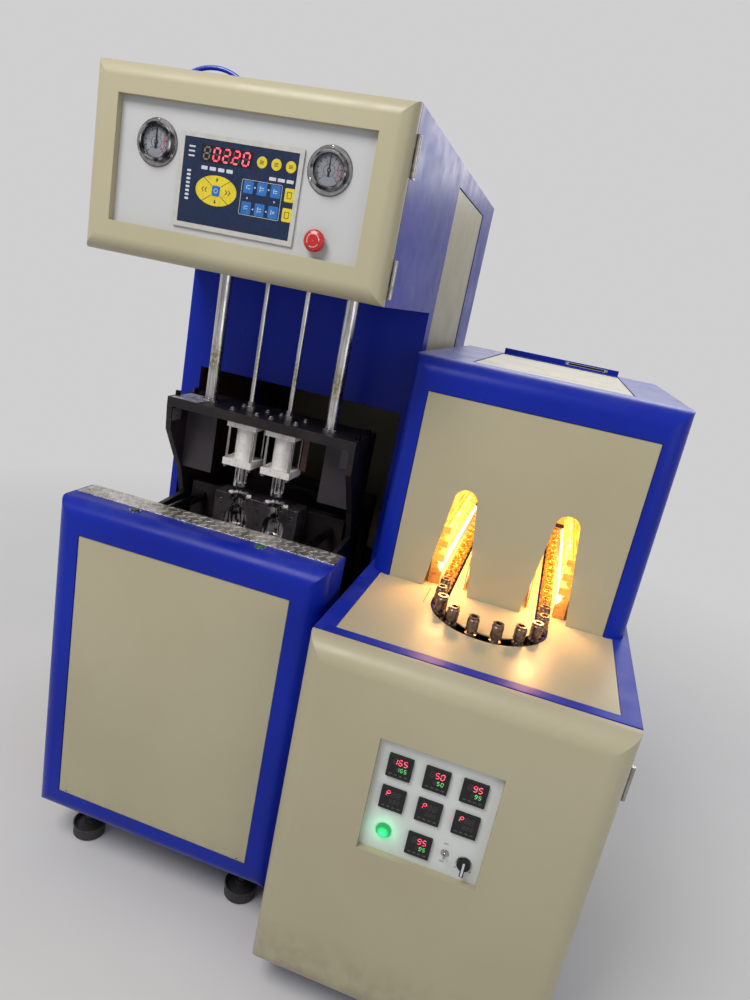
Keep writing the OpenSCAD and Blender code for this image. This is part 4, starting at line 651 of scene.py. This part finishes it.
def gauge_metal():
    """Gauge cases: a satin flange with a dark rim, and a raised bezel whose bright and dark patches are a painted
    reflection.
    """
    f = Finish("gauge_metal", (140, 137, 137), 0.26, 1.0)
    f.soften(0.5)
    away = f.away(BLOWER, GAUGE_X, GAUGE_Z, mirrored=True)
    metal = f.over(f.base, (172, 170, 170), f.clouds((16, 3), 0.4, 0.65))
    # Painted reflection on the raised bezel: bright and dark patches
    raised = f.flipped(f.between(away, 0.0352, 0.0358))
    shade = f.over(tint((150, 148, 150)), (40, 38, 42), f.clouds((26, 3), 0.44, 0.56))
    metal = f.over(metal, shade, raised)
    rim = f.both(f.between(away, 0.0414, 0.0420), 0.7)
    metal = f.over(metal, (72, 72, 74), rim)
    f.relief(f.noise(2, 2), 0.03, 0.4)
    return f.done(metal, f.clouds((12, 3), 0.4, 0.7, 0.16, 0.3))


def studio_floor():
    """Pale floor that fades into the pale background a few metres away, where only the camera sees it fade."""
    f = Finish("studio_floor", (208, 207, 207), 0.7)
    f.done(f.over(f.base, (203, 202, 202), f.clouds((900, 4), 0.4, 0.7)))
    away = f.add("ShaderNodeVectorMath", {0: f.where()}, "Value", operation="LENGTH")
    light = f.add("ShaderNodeEmission", {"Color": BACKGROUND, "Strength": 1.0})
    fade = f.add("ShaderNodeMixShader", {0: f.between(away, 1.0, 3.4), 1: f.shader.outputs[0], 2: light})
    feed(f.tree, f.tree.nodes["Material Output"].inputs[0], fade)
    return f.material


# Hose: the short air hose that stands between its two elbows on the head's roof

tube = moulded("hose_blue", (20, 56, 168), (12, 40, 140), 0.26, 2.0, coat_weight=0.3)


def air_hose():
    """A flat arc of 110 mm radius, 30 degrees to each side of its top, with a 9 mm round tube carried along it."""
    middle, radius, thick, points = np.array([-140.0, 160.0, 1745.737]), 110.0, 9.0, 33
    turn = np.radians(np.linspace(-30, 30, points))
    path = middle + radius * np.stack([np.sin(turn), np.zeros(points), np.cos(turn)], -1)
    hose = piece("air_hose", [tube_along(path, thick / 2, 24)], tube, "machine", BLOWER)
    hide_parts("roof_air_hose")


air_hose()

# Rooms as two corners each: most hold painted shade, OVEN_ROOM an orange-brown painted shade, and BOLT_ROOMS the bolt
# heads' own black
COLUMN_ROOM = ((-301, 486, 90), (301, 1160, 1814))
BAY_WALLS = ((-301, 131, 90), (301, 500, 779))
FRONT_COVER_BACK = ((-315.5, 9, 90), (315.5, 62, 936))
COVER_BACKS = ((-315.5, 62, 90), (315.5, 1100, 1800))
CLAMP_ROOM = ((-200, 462, 600), (200, 900, 960))
BOLT_ROOMS = (((-262, 296, 1150), (-205, 480, 1180)), ((205, 296, 1150), (262, 480, 1180)))
OVEN_ROOM = ((17, 420, 876), (595, 1228, 1383))
DOOR_BACKS = ((6, 52, 90), (606, 1228, 868))


def wear(finish, solids):
    """The finish goes on these drawn solids, and can dress new pieces too."""
    for name in solids.split():
        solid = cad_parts[name]
        solid.data.materials.clear()
        solid.data.materials.append(finish)
    return finish


# Paint
# The colours given with the rooms are painted shade inside the cabinets, orange-brown in the oven
wear(enamel("cabinet_blue", (18, 41, 158), (14, 29, 128), (70, 88, 178), 0.32, 0.06, 0.14,
            ((BLOWER, (84, 54, 48), (COLUMN_ROOM, BAY_WALLS)), (HEATER, (90, 46, 22), (OVEN_ROOM,)))),
     "blower_cabinet head_box heater_cabinet oven_casing")
wear(enamel("cabinet_cream", (172, 165, 138), (162, 154, 126), (198, 192, 170), 0.36, 0.10, 0.34,
            ((BLOWER, (84, 54, 48), (FRONT_COVER_BACK, COVER_BACKS)), (HEATER, (40, 32, 26), (DOOR_BACKS,)))),
     "blower_covers head_door heater_covers heater_door table_plates oven_front_panel")
wear(enamel("panel_white", (182, 183, 184), (174, 175, 177), (204, 206, 210), 0.44, 0.06, 0.34), "head_panel")
wear(enamel("recess_white", (206, 209, 206), (196, 199, 197), (216, 218, 218), 0.44, 0.04, 0.34), "heater_panel")
wear(enamel("dial_white", (142, 143, 147), (118, 119, 124), (150, 150, 152), 0.5, 0.0, 0.3), "gauge_dials")

# Metal
black = wear(blackened_steel(), "crosshead_cheeks crosshead_plates fixed_platen moving_platen clamp_yoke "
             "machine_bed stretch_plate")
wear(mould_steel(), "mould_front mould_rear")
chrome = wear(greased_chrome("greased_chrome", (202, 199, 198), (136, 131, 128), 0.2),
              "guide_posts stretch_rods blow_nozzle_left blow_nozzle_right")
# A darker copy of the chrome finish, for the tie bars
wear(greased_chrome("darker_chrome_rods", (92, 88, 86), (52, 48, 46), 0.24), "tie_bars")
wear(chequer_plate(), "tread_plate")
wear(brushed("bright_steel", (172, 171, 168), (112, 108, 104), 0.30, (1, 1, 0.05), 2.0, stain=(92, 72, 52),
             dark_rooms=((BLOWER, (26, 24, 25), BOLT_ROOMS),)),
     "crosshead_fittings fixed_hinge_leaves head_door_leaves heater_door_leaves roof_fittings")
plated = wear(brushed("plated_rings", (186, 185, 184), (132, 130, 130), 0.18, (1, 0.05, 1), 1.6),
              "start_button_rings neck_rings_front neck_rings_rear switch_bases toggle_lever")
wear(gauge_metal(), "gauge_cases")
# Painted shade darkens these parts inside the clamp room
cast_white = wear(brushed("cylinder_alloy", (236, 233, 230), (214, 210, 206), 0.42, (1, 1, 0.08), 2.5,
                          stain=(176, 156, 136), metallic=0.1,
                          dark_rooms=((BLOWER, (40, 36, 38), (CLAMP_ROOM,)),)), "pneumatic_units seal_cylinders")
wear(reflector_sheet(), "oven_reflectors")
hood = hood_sheet()
wear(oiled_steel("oiled_chain", (56, 46, 44), (26, 20, 20), (112, 62, 34), 0.32), "preform_chain")
wear(oiled_steel("holder_steel", (136, 118, 108), (62, 46, 44), (142, 88, 56), 0.26), "preform_holders")
wear(moulded("motor_green", (84, 100, 92), (60, 74, 68), 0.45, 2.5, worn=(140, 148, 140)), "chain_drive")
# A painted reddish-brown reflection, laid on a thin strip beside the right cylinder
rust_brown = moulded("reflection_strip", (74, 40, 28), (48, 26, 20), 0.45, 2.0, worn=(120, 84, 60))

# Plastic, rubber and glass
wear(tube, "roof_air_hose")
grey_pad = moulded("grey_pad", (98, 93, 98), (74, 70, 74), 0.45, 2.0, worn=(140, 136, 138))
black_plastic = wear(moulded("black_plastic", (22, 21, 23), (14, 13, 15), 0.34, worn=(62, 62, 66),
                             specular_ior_level=0.35), "temperature_controllers selector_knob stop_button_body")
dark_window = moulded("display_window", (15, 13, 16), (11, 10, 12), 0.16, 0.7, specular_ior_level=0.4)
wear(moulded("keypad_bezel", (176, 175, 170), (162, 161, 156), 0.42, worn=(198, 198, 196)), "keypad_frame")
wear(moulded("keypad_film", (21, 36, 64), (19, 33, 60), 0.28, 0.7, specular_ior_level=0.3), "keypad_face")
red = wear(moulded("stop_red", (186, 26, 24), (158, 18, 18), 0.26, 0.7, worn=(210, 70, 60), coat_weight=0.2),
           "stop_button")
wear(moulded("start_green", (14, 92, 50), (8, 62, 34), 0.28, 0.7, coat_weight=0.2), "start_button_right")
wear(moulded("start_black", (28, 30, 34), (20, 22, 25), 0.30, 0.7), "start_button_left")
wear(moulded("foot_rubber", (48, 46, 44), (32, 31, 30), 0.55, 1.6, worn=(96, 94, 90)), "levelling_feet")
wear(clear_glass(), "gauge_lenses")

# Prints and lights
ink = wear(moulded("dial_ink", (20, 20, 23), (12, 12, 14), 0.5), "gauge_needle_left gauge_needle_right")
unlit = moulded("figures_unlit", (58, 50, 53), (46, 40, 43), 0.4)
unlit_pale = moulded("figures_unlit_pale", (112, 100, 98), (92, 82, 80), 0.4)
white_print = moulded("print_white", (190, 193, 200), (172, 176, 184), 0.4)
yellow_print = moulded("print_yellow", (206, 186, 34), (186, 164, 24), 0.38)
blue_print = moulded("print_blue", (20, 100, 172), (14, 82, 150), 0.38)
faint_print = moulded("print_faint", (74, 74, 76), (60, 60, 62), 0.4)
red_light = lit("figures_red", (250, 52, 80), 1.4, (255, 118, 138))
green_light = lit("figures_green", (76, 206, 100), 1.0, (140, 236, 120))
wear(glowing_quartz(), "oven_lamps")
wear(pilot_lens(), "power_lamp")


# Head door: keypad, stop button and gauges

def keypad():
    """Everything printed or lit on the keypad's film."""
    front = edge_of("keypad_face", BLOWER, 1, False)
    skin, face, mark = front - 0.2, front - 0.35, front - 0.5

    def printed(name, shapes, finish):
        """A piece that turns with the head door."""
        piece(name, shapes, finish, "head_door", BLOWER)

    def keys(outlines):
        """Keys stand a little proud of the film."""
        return plates(outlines, face, 0.5, 0.3)

    def signs(outlines):
        """Signs lie on top of the keys."""
        return plates(outlines, mark, 0.3, 0.05)

    # Display: window, lit figures and their point, the first figure unlit, and the bars that stay dark
    display_z = 1681.5
    figures, idle = (-48.5, display_z, 22, 20.3), (-68.8, display_z, 21, 20.3)
    point = oval(3, 3, 6) + (-17.5, 1671.5)
    printed("keypad_window", [plates(rounded(106, 30, 2) + (-27.5, display_z), skin, 0.4)], dark_window)
    printed("keypad_figures", [plates(figure_bars("0220", *figures), face, 0.3), plates(point, face, 0.3)],
            red_light)
    printed("keypad_idle_figure", [plates(figure_bars("8", *idle), face + 0.05, 0.2)], unlit_pale)
    printed("keypad_dark_bars", [plates(figure_bars("0220", *figures, False), face + 0.1, 0.2)], unlit)

    # White dashes in rows and columns: width, height, first place, step and number; then a frame
    rows = [(13, 6.5, (-70.7, 1656), (17.5, 0), 4), (14, 6, (70, 1656), (17.5, 0), 3),
            (13, 3, (-100.5, 1689.5), (0, -8.1), 3), (8, 4, (-102, 1647), (0, -7.1), 8)]
    dashes = [at_places(rounded(wide, high, 1), np.array(first) + np.arange(count)[:, None] * step)
              for wide, high, first, step, count in rows]
    outline = ring_plate(rounded(82.5, 62.5, 3, 6) + (51, 1617), rounded(80.9, 60.9, 2.4, 6) + (51, 1617), skin, 0.3)
    printed("keypad_marks", [plates(np.concatenate(dashes), skin, 0.3), outline], white_print)

    # Yellow keys: three round, two square, and the oval; blue keys: two rows of three, and the oval's middle
    oval_at = np.array([-41.6, 1618.5])
    round_x, round_z = (44.6, 73.6, 102.6), 1681
    squares_at = [(107.4, 1633), (107.4, 1598.5)]
    blue_x = 24 + 27.6 * np.arange(3)
    blue_at = [(x, z) for z in (1635.0, 1598.5) for x in blue_x]
    printed("keypad_yellow_keys", [keys(at_places(oval(20.5, 20.5, 32), [(x, round_z) for x in round_x])),
                                   keys(at_places(rounded(19, 24, 2.5), squares_at)), keys(oval(86, 54) + oval_at)],
            yellow_print)
    printed("keypad_blue_keys", [keys(at_places(rounded(20, 22, 2), blue_at)),
                                 plates(rounded(17, 19, 3.5) + oval_at, face - 0.35, 0.5, 0.3)],
            blue_print)

    # Black: the oval's dividing lines, its arrows, and small signs on the yellow keys
    corners = np.array([(1, 1), (-1, 1), (-1, -1), (1, -1)])
    start, end = corners * (9.5, 8.5), corners * (27.5, 20.8)
    along = end - start
    aside = np.stack([-along[:, 1], along[:, 0]], -1) / np.linalg.norm(along, axis=1, keepdims=True) * 0.5
    arrow = np.array([(0, 3.6), (-3, -0.2), (-1, -0.2), (-1, -3.6), (1, -3.6), (1, -0.2), (3, -0.2)])
    chevron = np.array([(-2.6, 0), (1.0, 4.4), (2.8, 4.4), (-0.6, 0), (2.8, -4.4), (1.0, -4.4)])
    black_signs = [signs(np.stack([start - aside, end - aside, end + aside, start + aside], 1) + oval_at),
                   signs(arrow + oval_at + (0, 19.5)), signs(arrow * (1, -1) + oval_at - (0, 19.5))]
    for out in (27.9, 21.4):
        black_signs += [signs(chevron + oval_at - (out, 0)), signs(chevron * (-1, 1) + oval_at + (out, 0))]
    black_signs.append(signs(at_places(rounded(8, 1.1, 0.5), [(x, round_z + up) for x in round_x
                                                              for up in (-2.4, 0, 2.4)])))
    black_signs += [ring_plate(rounded(9.4, 12, 1.2, 4) + at, rounded(7.2, 9.8, 0.8, 4) + at, mark, 0.3)
                    for at in squares_at]
    printed("keypad_black_signs", black_signs, ink)

    # White: the arrows that lead from one blue key to the next, strokes on each, and a ring on the oval's middle
    triangle, between_rows = np.array([(-1.9, -2.0), (2.1, 0), (-1.9, 2.0)]), 1616.5
    lead = [triangle + (x + 14, 1636) for x in blue_x[:2]]
    lead += [triangle * (-1, 1) + (x + 13.6, 1598) for x in blue_x[:2]]
    lead += [triangle[:, ::-1] * (1, -1) + (blue_x[2], between_rows), triangle[:, ::-1] + (blue_x[0], between_rows)]
    ticks = []
    for n, (x, z) in enumerate(blue_at):
        tall = 3.4 + (n * 2) % 3
        ticks += [rounded(1.3, tall * 2, 0.6) + (x - 3.4, z), rounded(6, 1.3, 0.6) + (x + 0.8, z + 3.2 - n % 3),
                  rounded(4.4, 1.3, 0.6) + (x + 1.4, z - 2.4 + n % 2)]
    ring = ring_plate(oval(8.4, 8.4, 20) + oval_at, oval(6.2, 6.2, 20) + oval_at, front - 0.85, 0.3)
    printed("keypad_white_signs", [signs(lead), signs(ticks), ring], white_print)


def stop_marks():
    """Three white arcs with arrow heads on the stop button's face, which show the way it is turned free."""
    face = edge_of("stop_button", BLOWER, 1, False) + 0.55
    middle = middle_of("stop_button", BLOWER)[[0, 2]]
    arcs, heads = [], []
    for start in (18, 138, 258):
        arcs.append(arc_band(10.6, 12.2, start, start + 74) + middle)
        turn = math.radians(start - 4)
        away, ahead = np.array([math.cos(turn), math.sin(turn)]), np.array([math.sin(turn), -math.cos(turn)])
        heads.append(np.array([away * 9.2 - ahead, away * 13.6 - ahead, away * 11.4 + ahead * 3.6]) + middle)
    piece("stop_arrows", [plates(shapes, face, 1.6, 0.1) for shapes in (arcs, heads)], white_print, "stop_button",
          BLOWER)


def gauge_scale(side):
    """The printed scale of one gauge: long and short strokes round the dial, a coloured band, and plain numbers."""
    name = "left" if side < 0 else "right"
    middle = np.array([GAUGE_X * side, GAUGE_Z])
    face = edge_of("head_panel", BLOWER, 1, False) - 4.12
    sweep, count = 135, 51
    turn = np.radians(np.linspace(-sweep, sweep, count))
    long = np.arange(count) % 5 == 0
    inner, outer, half = np.where(long, 20.0, 22.2), np.full(count, 26.0), np.where(long, 0.8, 0.42)
    ahead = np.stack([np.sin(turn), np.cos(turn)], -1)
    across = np.stack([ahead[:, 1], -ahead[:, 0]], -1)
    corners = [(inner, -half), (outer, -half), (outer, half), (inner, half)]
    strokes = np.stack([ahead * r[:, None] + across * w[:, None] for r, w in corners], 1) + middle
    rims = [ring_plate(oval(wide, wide, steps) + middle, oval(narrow, narrow, steps) + middle, face, 0.2)
            for wide, narrow, steps in ((55.6, 53.2, 64), (22.4, 20.8, 48))]
    piece(f"gauge_strokes_{name}", [plates(strokes, face, 0.2, 0.04)] + rims, ink, "head_door",
          BLOWER)
    band = arc_band(17.6, 19.2, -45, 32, 24) + middle
    piece(f"gauge_band_{name}", [plates(band, face, 0.2, 0.05)], red, "head_door", BLOWER)
    for n in range(6):
        angle = math.radians(2 * sweep / 5 * n - sweep)
        x, z = middle + 15.2 * np.array([math.sin(angle), math.cos(angle)])
        lettering(str(2 * n), x, z, 4.0, face, BLOWER, f"gauge_number_{name}_{n}", "head_door", ink)


def screw_head(radius, high):
    """Profile of a pan-head screw: rim, dome and a small dimple in its middle, pointing along minus the axis."""
    return [(radius, 0.4), (radius, -high * 0.35), (radius * 0.8, -high * 0.85), (radius * 0.45, -high),
            (radius * 0.4, -high * 0.45), (0.05, -high * 0.4)]


def small_screws():
    """Three screws round each gauge, and two on each leaf of the doors' hinges."""
    panel, reach = edge_of("head_panel", BLOWER, 1, False), 39.5
    lugs = [(GAUGE_X * side + reach * math.cos(turn), panel - 2.2, GAUGE_Z + reach * math.sin(turn))
            for side in (-1, 1) for turn in np.radians([90, 210, 330])]
    piece("gauge_screws", [turned(screw_head(3.2, 1.8), lugs, 20)], plated, "head_door", BLOWER)
    sideways = [(radius, -high) for radius, high in screw_head(3.6, 1.5)]
    for door, x, y, hinges, machine in (("head", 321.6, 78.0, (1735, 1522), BLOWER),
                                        ("door", 613.6, 64.2, (765, 194), HEATER)):
        places = [(x, y, z + up) for z in hinges for up in (20, -20)]
        piece(f"{door}_hinge_screws", [turned(sideways, places, 20, axis=0)], black_plastic, "machine",
              machine)


# Heater door: controllers and switches

def controller_figures():
    """Red and green figures on the seven temperature controllers, with their dark bars and small keys."""
    face = edge_of("temperature_controllers", HEATER, 1, False)
    # Each controller's lower left corner: two rows of three, and one by itself below them
    corners = [(x, z) for z in (642.0, 570.5) for x in (200.0, 271.5, 343.0)] + [(268.6, 491.0)]
    shown = ["165", " 50", " 95", "P  ", "P  ", "P  ", " 95"]
    windows, reds, greens, darks, keys = [], [], [], [], []
    for (x, z), words in zip(corners, shown):
        large, small = (x + 14.2, z + 35.6, 11.6, 9.9), (x + 21.4, z + 20.2, 7.8, 7.2)
        windows.append(at_places(rounded(43, 43, 1.5), [(x + 24, z + 24)]))
        reds.append(figure_bars(words, *large))
        darks.append(figure_bars(words, *large, False))
        lower = "   " if words[0] == "P" else words
        if lower.strip():
            greens.append(figure_bars(lower, *small))
        darks.append(figure_bars(lower, *small, False))
        keys.append(at_places(rounded(6, 2.4, 1), [(x + 9 + 10 * n, z + 7.5) for n in range(4)]))
    for name, outlines, out, depth, edge, finish, slot in (
            ("windows", windows, 0.15, 0.4, 0.1, dark_window, "black_plastic"),
            ("red", reds, 0.35, 0.4, 0.05, red_light, "red_plastic"),
            ("green", greens, 0.35, 0.4, 0.05, green_light, "green_plastic"),
            ("dark", darks, 0.25, 0.3, 0.05, unlit, "black_plastic"),
            ("keys", keys, 0.5, 0.7, 0.3, faint_print, "grey_plastic")):
        piece(f"controller_{name}", [plates(np.concatenate(outlines), face - out, depth, edge)], finish,
              "heater_door", HEATER)


def switch_marks():
    """The selector's white line along its grip, its dial ticks, and ON and OFF beside the toggle."""
    wall = edge_of("heater_panel", HEATER, 1, False)
    for words, x, z in (("ON", 342, 538), ("OFF", 341.5, 497)):
        lettering(words, x, z, 4.2, wall - 0.05, HEATER, f"switch_{words.lower()}", "heater_door", ink)
    knob = edge_of("selector_knob", HEATER, 1, False)
    axis = np.array([383.0, 510.0])
    line = rounded(4.0, 31, 1.6) + axis - (0, 3.8)
    piece("selector_line", [plates(line, knob - 0.15, 0.5, 0.1)], white_print, "selector", HEATER)
    ticks = np.stack([arc_band(19.5, 21.5, a - 4, a + 4, 4) for a in (-135, -90, -45)]) + axis
    piece("selector_ticks", [plates(ticks, wall - 0.1, 0.3, 0.05)], ink, "heater_door", HEATER)


# Blow station: what the bay shows besides the drawn solids

def bay_pieces():
    """Plates in front of the cheeks' feet, split clamps round the neck rings, flanges, pads and dowel holes."""
    foot = np.array([(298, 641), (298, 862), (304, 871), (462, 884), (462, 641)])
    feet = [[np.column_stack([np.full(5, side * x), foot]) for x in (237.0, 249.0)] for side in (-1, 1)]
    piece("cheek_feet", [lofts(np.array(feet))], black, "machine", BLOWER, 20)

    # Clamps in three parts round each rear neck ring, and their mirror image on the front half, which moves
    neck_x, rear_y, front_y, thick = 52, 360.6, 151.7, 5.5
    top = edge_of("mould_rear", BLOWER, 2, True) + thick
    for half, y, way, body in (("rear", rear_y, 1, "machine"), ("front", front_y, -1, "clamp")):
        parts = [arc_band(20.5, 33.0, *sorted((way * a, way * b)), 10) + (neck_x * side, y)
                 for side in (-1, 1) for a, b in ((14, 62), (68, 112), (118, 166))]
        piece(f"neck_clamps_{half}", [plates(parts, top, thick, 0.8, "up")], cast_white, body, BLOWER)
    bolts = [(neck_x * side + 27 * math.cos(turn), rear_y + 27 * math.sin(turn), top)
             for side in (-1, 1) for turn in np.radians([38, 90, 142])]
    bolt = [(3.2, -0.4), (3.2, 2.0), (2.6, 2.6), (1.6, 2.6), (1.5, 1.4), (0.05, 1.4)]
    piece("neck_clamp_bolts", [turned(bolt, bolts, 16, axis=2)], black, "machine", BLOWER)

    dowels = [(x, 360.0, 907) for x in (-100, 0, 100)]
    ring = [(5.5, 0.4), (5.5, -0.05), (4.4, -0.18), (3.6, 0.1), (0.05, 0.1)]
    piece("mould_dowels", [turned(ring, dowels, 20)], chrome, "machine", BLOWER)

    post_x, post_y, crosshead_top = 163, 360, 1155.0
    flange = [(21, 0), (21, 4.5), (19.5, 6), (16.2, 6), (16.2, 10), (15.3, 10.6), (15.3, 0)]
    posts = [(side * post_x, post_y, crosshead_top) for side in (-1, 1)]
    piece("post_flanges", [turned(flange, posts, 40, axis=2)], plated, "machine", BLOWER)

    pads = [((-236.2, 308, 1094), (-234.4, 346, 1126)), ((194, 384.2, 1064), (220, 386.2, 1112))]
    piece("stiffener_pads", [blocks(pads)], grey_pad, "machine", BLOWER)
    # The strip's colour is a painted reddish-brown reflection beside the cylinder
    strip = [((97, 372, 1034), (112, 374, 1131))]
    piece("strip_beside_cylinder", [blocks(strip)], rust_brown, "machine", BLOWER)


# Oven: what the two mouths show

def tunnel_crown(middle, outward):
    """A ribbed hood over one tunnel: up the reflector, round over the preforms and down to the guard, with ribs of
    1.2 mm every 9.5 mm, carried straight from mouth to end."""
    steps, straight, reach = 118, 58.0, 40.0
    spring, mouth, end = 1034.5, 403.0, 1074.0
    rib, pitch = 1.2, 9.5
    s = np.linspace(0, 2 * straight + math.pi * reach, steps)
    turn = np.clip((s - straight) / reach, 0, math.pi)
    after = np.maximum(s - straight - math.pi * reach, 0)
    before = np.minimum(s, straight)
    way = np.stack([np.cos(turn), np.sin(turn)], -1)
    line = np.stack([reach * way[:, 0], spring + before - after + reach * way[:, 1]], -1)
    ribs = rib * np.cos(s * 2 * math.pi / pitch)
    inner, outer = line - way * (ribs + rib)[:, None], line + way * 1.4
    rings = np.zeros((1, steps, 4, 3))
    for k, (edge, y) in enumerate([(inner, mouth), (outer, mouth), (outer, end), (inner, end)]):
        rings[0, :, k, 0] = middle + outward * edge[:, 0]
        rings[0, :, k, 1] = y
        rings[0, :, k, 2] = edge[:, 1]
    return lofts(rings)


def oven_pieces():
    """Ribbed hoods and a backboard in the oven, a seam in the table beside them, and the roof's grip."""
    crowns = [tunnel_crown(HEATER_MID + side * TUNNEL, side) for side in (-1, 1)]
    turn, radius, foot = np.linspace(0, math.pi, 25), 39, 924
    dome = np.stack([radius * np.cos(turn), 1092 + radius * np.sin(turn)], -1)
    arch = np.concatenate([[(radius, foot)], dome, [(-radius, foot)]])
    far_ends = plates(at_places(arch, [(HEATER_MID + side * TUNNEL, 0) for side in (-1, 1)]), 1071.5, 2.0)
    backboard = blocks([((60, 1221, TABLE + 0.2), (552, 1224, 1040))])
    # The hoods, their far ends and the backboard wear the hood finish with its painted glow
    piece("tunnel_hoods", crowns + [far_ends, backboard], hood, "machine", HEATER, 20)
    seam = rounded(1.6, 92, 0.7) + (161.5, 347)
    piece("table_seam", [plates(seam, TABLE + 0.15, 0.4, 0.1, "up")], ink, "machine", HEATER)
    grip = [((330, 1229, 1394.8), (444, 1236.4, 1401.2))]
    piece("roof_grip", [blocks(grip)], black_plastic, "machine", HEATER)
    grip_ends = [((321, 1228.6, 1393.4), (327.4, 1230.2, 1402.6)), ((446.6, 1228.6, 1393.4), (453, 1230.2, 1402.6))]
    piece("roof_grip_ends", [blocks(grip_ends)], plated, "machine", HEATER)


keypad()
stop_marks()
for side in (-1, 1):
    gauge_scale(side)
small_screws()
controller_figures()
switch_marks()
bay_pieces()
oven_pieces()


# Studio

def studio():
    """Pale floor, pale background, and a plain sky for the light."""
    rim = np.column_stack([oval(28, 28, 64), np.zeros(64)])
    ground = bpy.data.meshes.new("floor")
    ground.from_pydata(rim.tolist(), [], [list(range(len(rim)))])
    ground.materials.append(studio_floor())
    floor = bpy.data.objects.new("floor", ground)
    bpy.context.scene.collection.objects.link(floor)

    world = bpy.data.worlds.new("pale_room")
    bpy.context.scene.world = world
    world.use_nodes = True
    tree = world.node_tree
    # The sky is plain to the camera, to mirrors and through glass, and lights everything else
    rays = new_node(tree, "ShaderNodeLightPath", {}).outputs
    either = new_node(tree, "ShaderNodeMath", {0: rays["Is Glossy Ray"], 1: rays["Is Transmission Ray"]},
                      operation="MAXIMUM")
    seen = new_node(tree, "ShaderNodeMath", {0: rays["Is Camera Ray"], 1: either.outputs[0]}, operation="MAXIMUM")
    sky = tree.nodes["Background"]
    sky.inputs["Color"].default_value = (0.95, 0.96, 1.0, 1)
    sky.inputs["Strength"].default_value = 0.36
    shown = new_node(tree, "ShaderNodeBackground", {"Color": BACKGROUND, "Strength": 1.0})
    mix = new_node(tree, "ShaderNodeMixShader", {0: seen.outputs[0], 1: sky.outputs[0], 2: shown.outputs[0]})
    feed(tree, tree.nodes["World Output"].inputs[0], mix.outputs[0])


def soft_lamp(name, spot, aim, size, watts, colour):
    """A square lamp of this size in metres at a spot, turned towards its aim; only its light is seen."""
    data = bpy.data.lights.new(name, "AREA")
    data.shape = "SQUARE"
    data.size = size
    data.energy = watts
    data.color = colour
    lamp = bpy.data.objects.new(name, data)
    lamp.location = spot
    away = np.array(spot, float) - np.array(aim, float)
    lamp.rotation_euler = Vector(away).to_track_quat("Z", "Y").to_euler()
    lamp.visible_camera = False
    bpy.context.scene.collection.objects.link(lamp)


def machine_lamp(name, spot, aim, machine, size, watts, colour):
    """A small lamp that stands for light from the machine itself, placed in its own millimetres."""
    soft_lamp(name, tuple(on_machine(spot, machine)), tuple(on_machine(aim, machine)), size / 1000, watts, colour)


studio()
soft_lamp("key", (-1.3, -2.7, 4.1), (0, 0, 0.9), 1.9, 134, (1.0, 0.98, 0.95))
soft_lamp("fill", (3.2, -2.4, 1.9), (0, 0, 0.9), 2.4, 28, (0.95, 0.97, 1.0))
soft_lamp("back", (0.6, 3.2, 3.4), (0, 0, 1.0), 2.6, 60, (1.0, 1.0, 1.0))

# Warm light that the oven throws on the table, its front panel and its tunnels, and the pilot lamp's green
WARM, PILOT_GREEN = (1.0, 0.50, 0.18), (0.12, 1.0, 0.42)
for name, across in (("left", HEATER_MID - TUNNEL), ("right", HEATER_MID + TUNNEL)):
    machine_lamp(f"mouth_glow_{name}", (across, 402, 990), (across, 250, TABLE), HEATER, 60, 0.38, WARM)
    for n, deep in enumerate((440, 560, 720)):
        machine_lamp(f"tunnel_glow_{name}_{n}", (across, deep, 1045), (across, deep + 60, 890), HEATER, 40, 1.1, WARM)
machine_lamp("oven_glow", (HEATER_MID, 1120, 1040), (HEATER_MID, 1160, 880), HEATER, 120, 2.0, WARM)
pilot_x, _, pilot_z = middle_of("power_lamp", HEATER)
machine_lamp("pilot_glow", (pilot_x, -6, pilot_z), (pilot_x, 15, pilot_z), HEATER, 26, 0.012, PILOT_GREEN)
bpy.context.scene.view_settings.view_transform = "Standard"
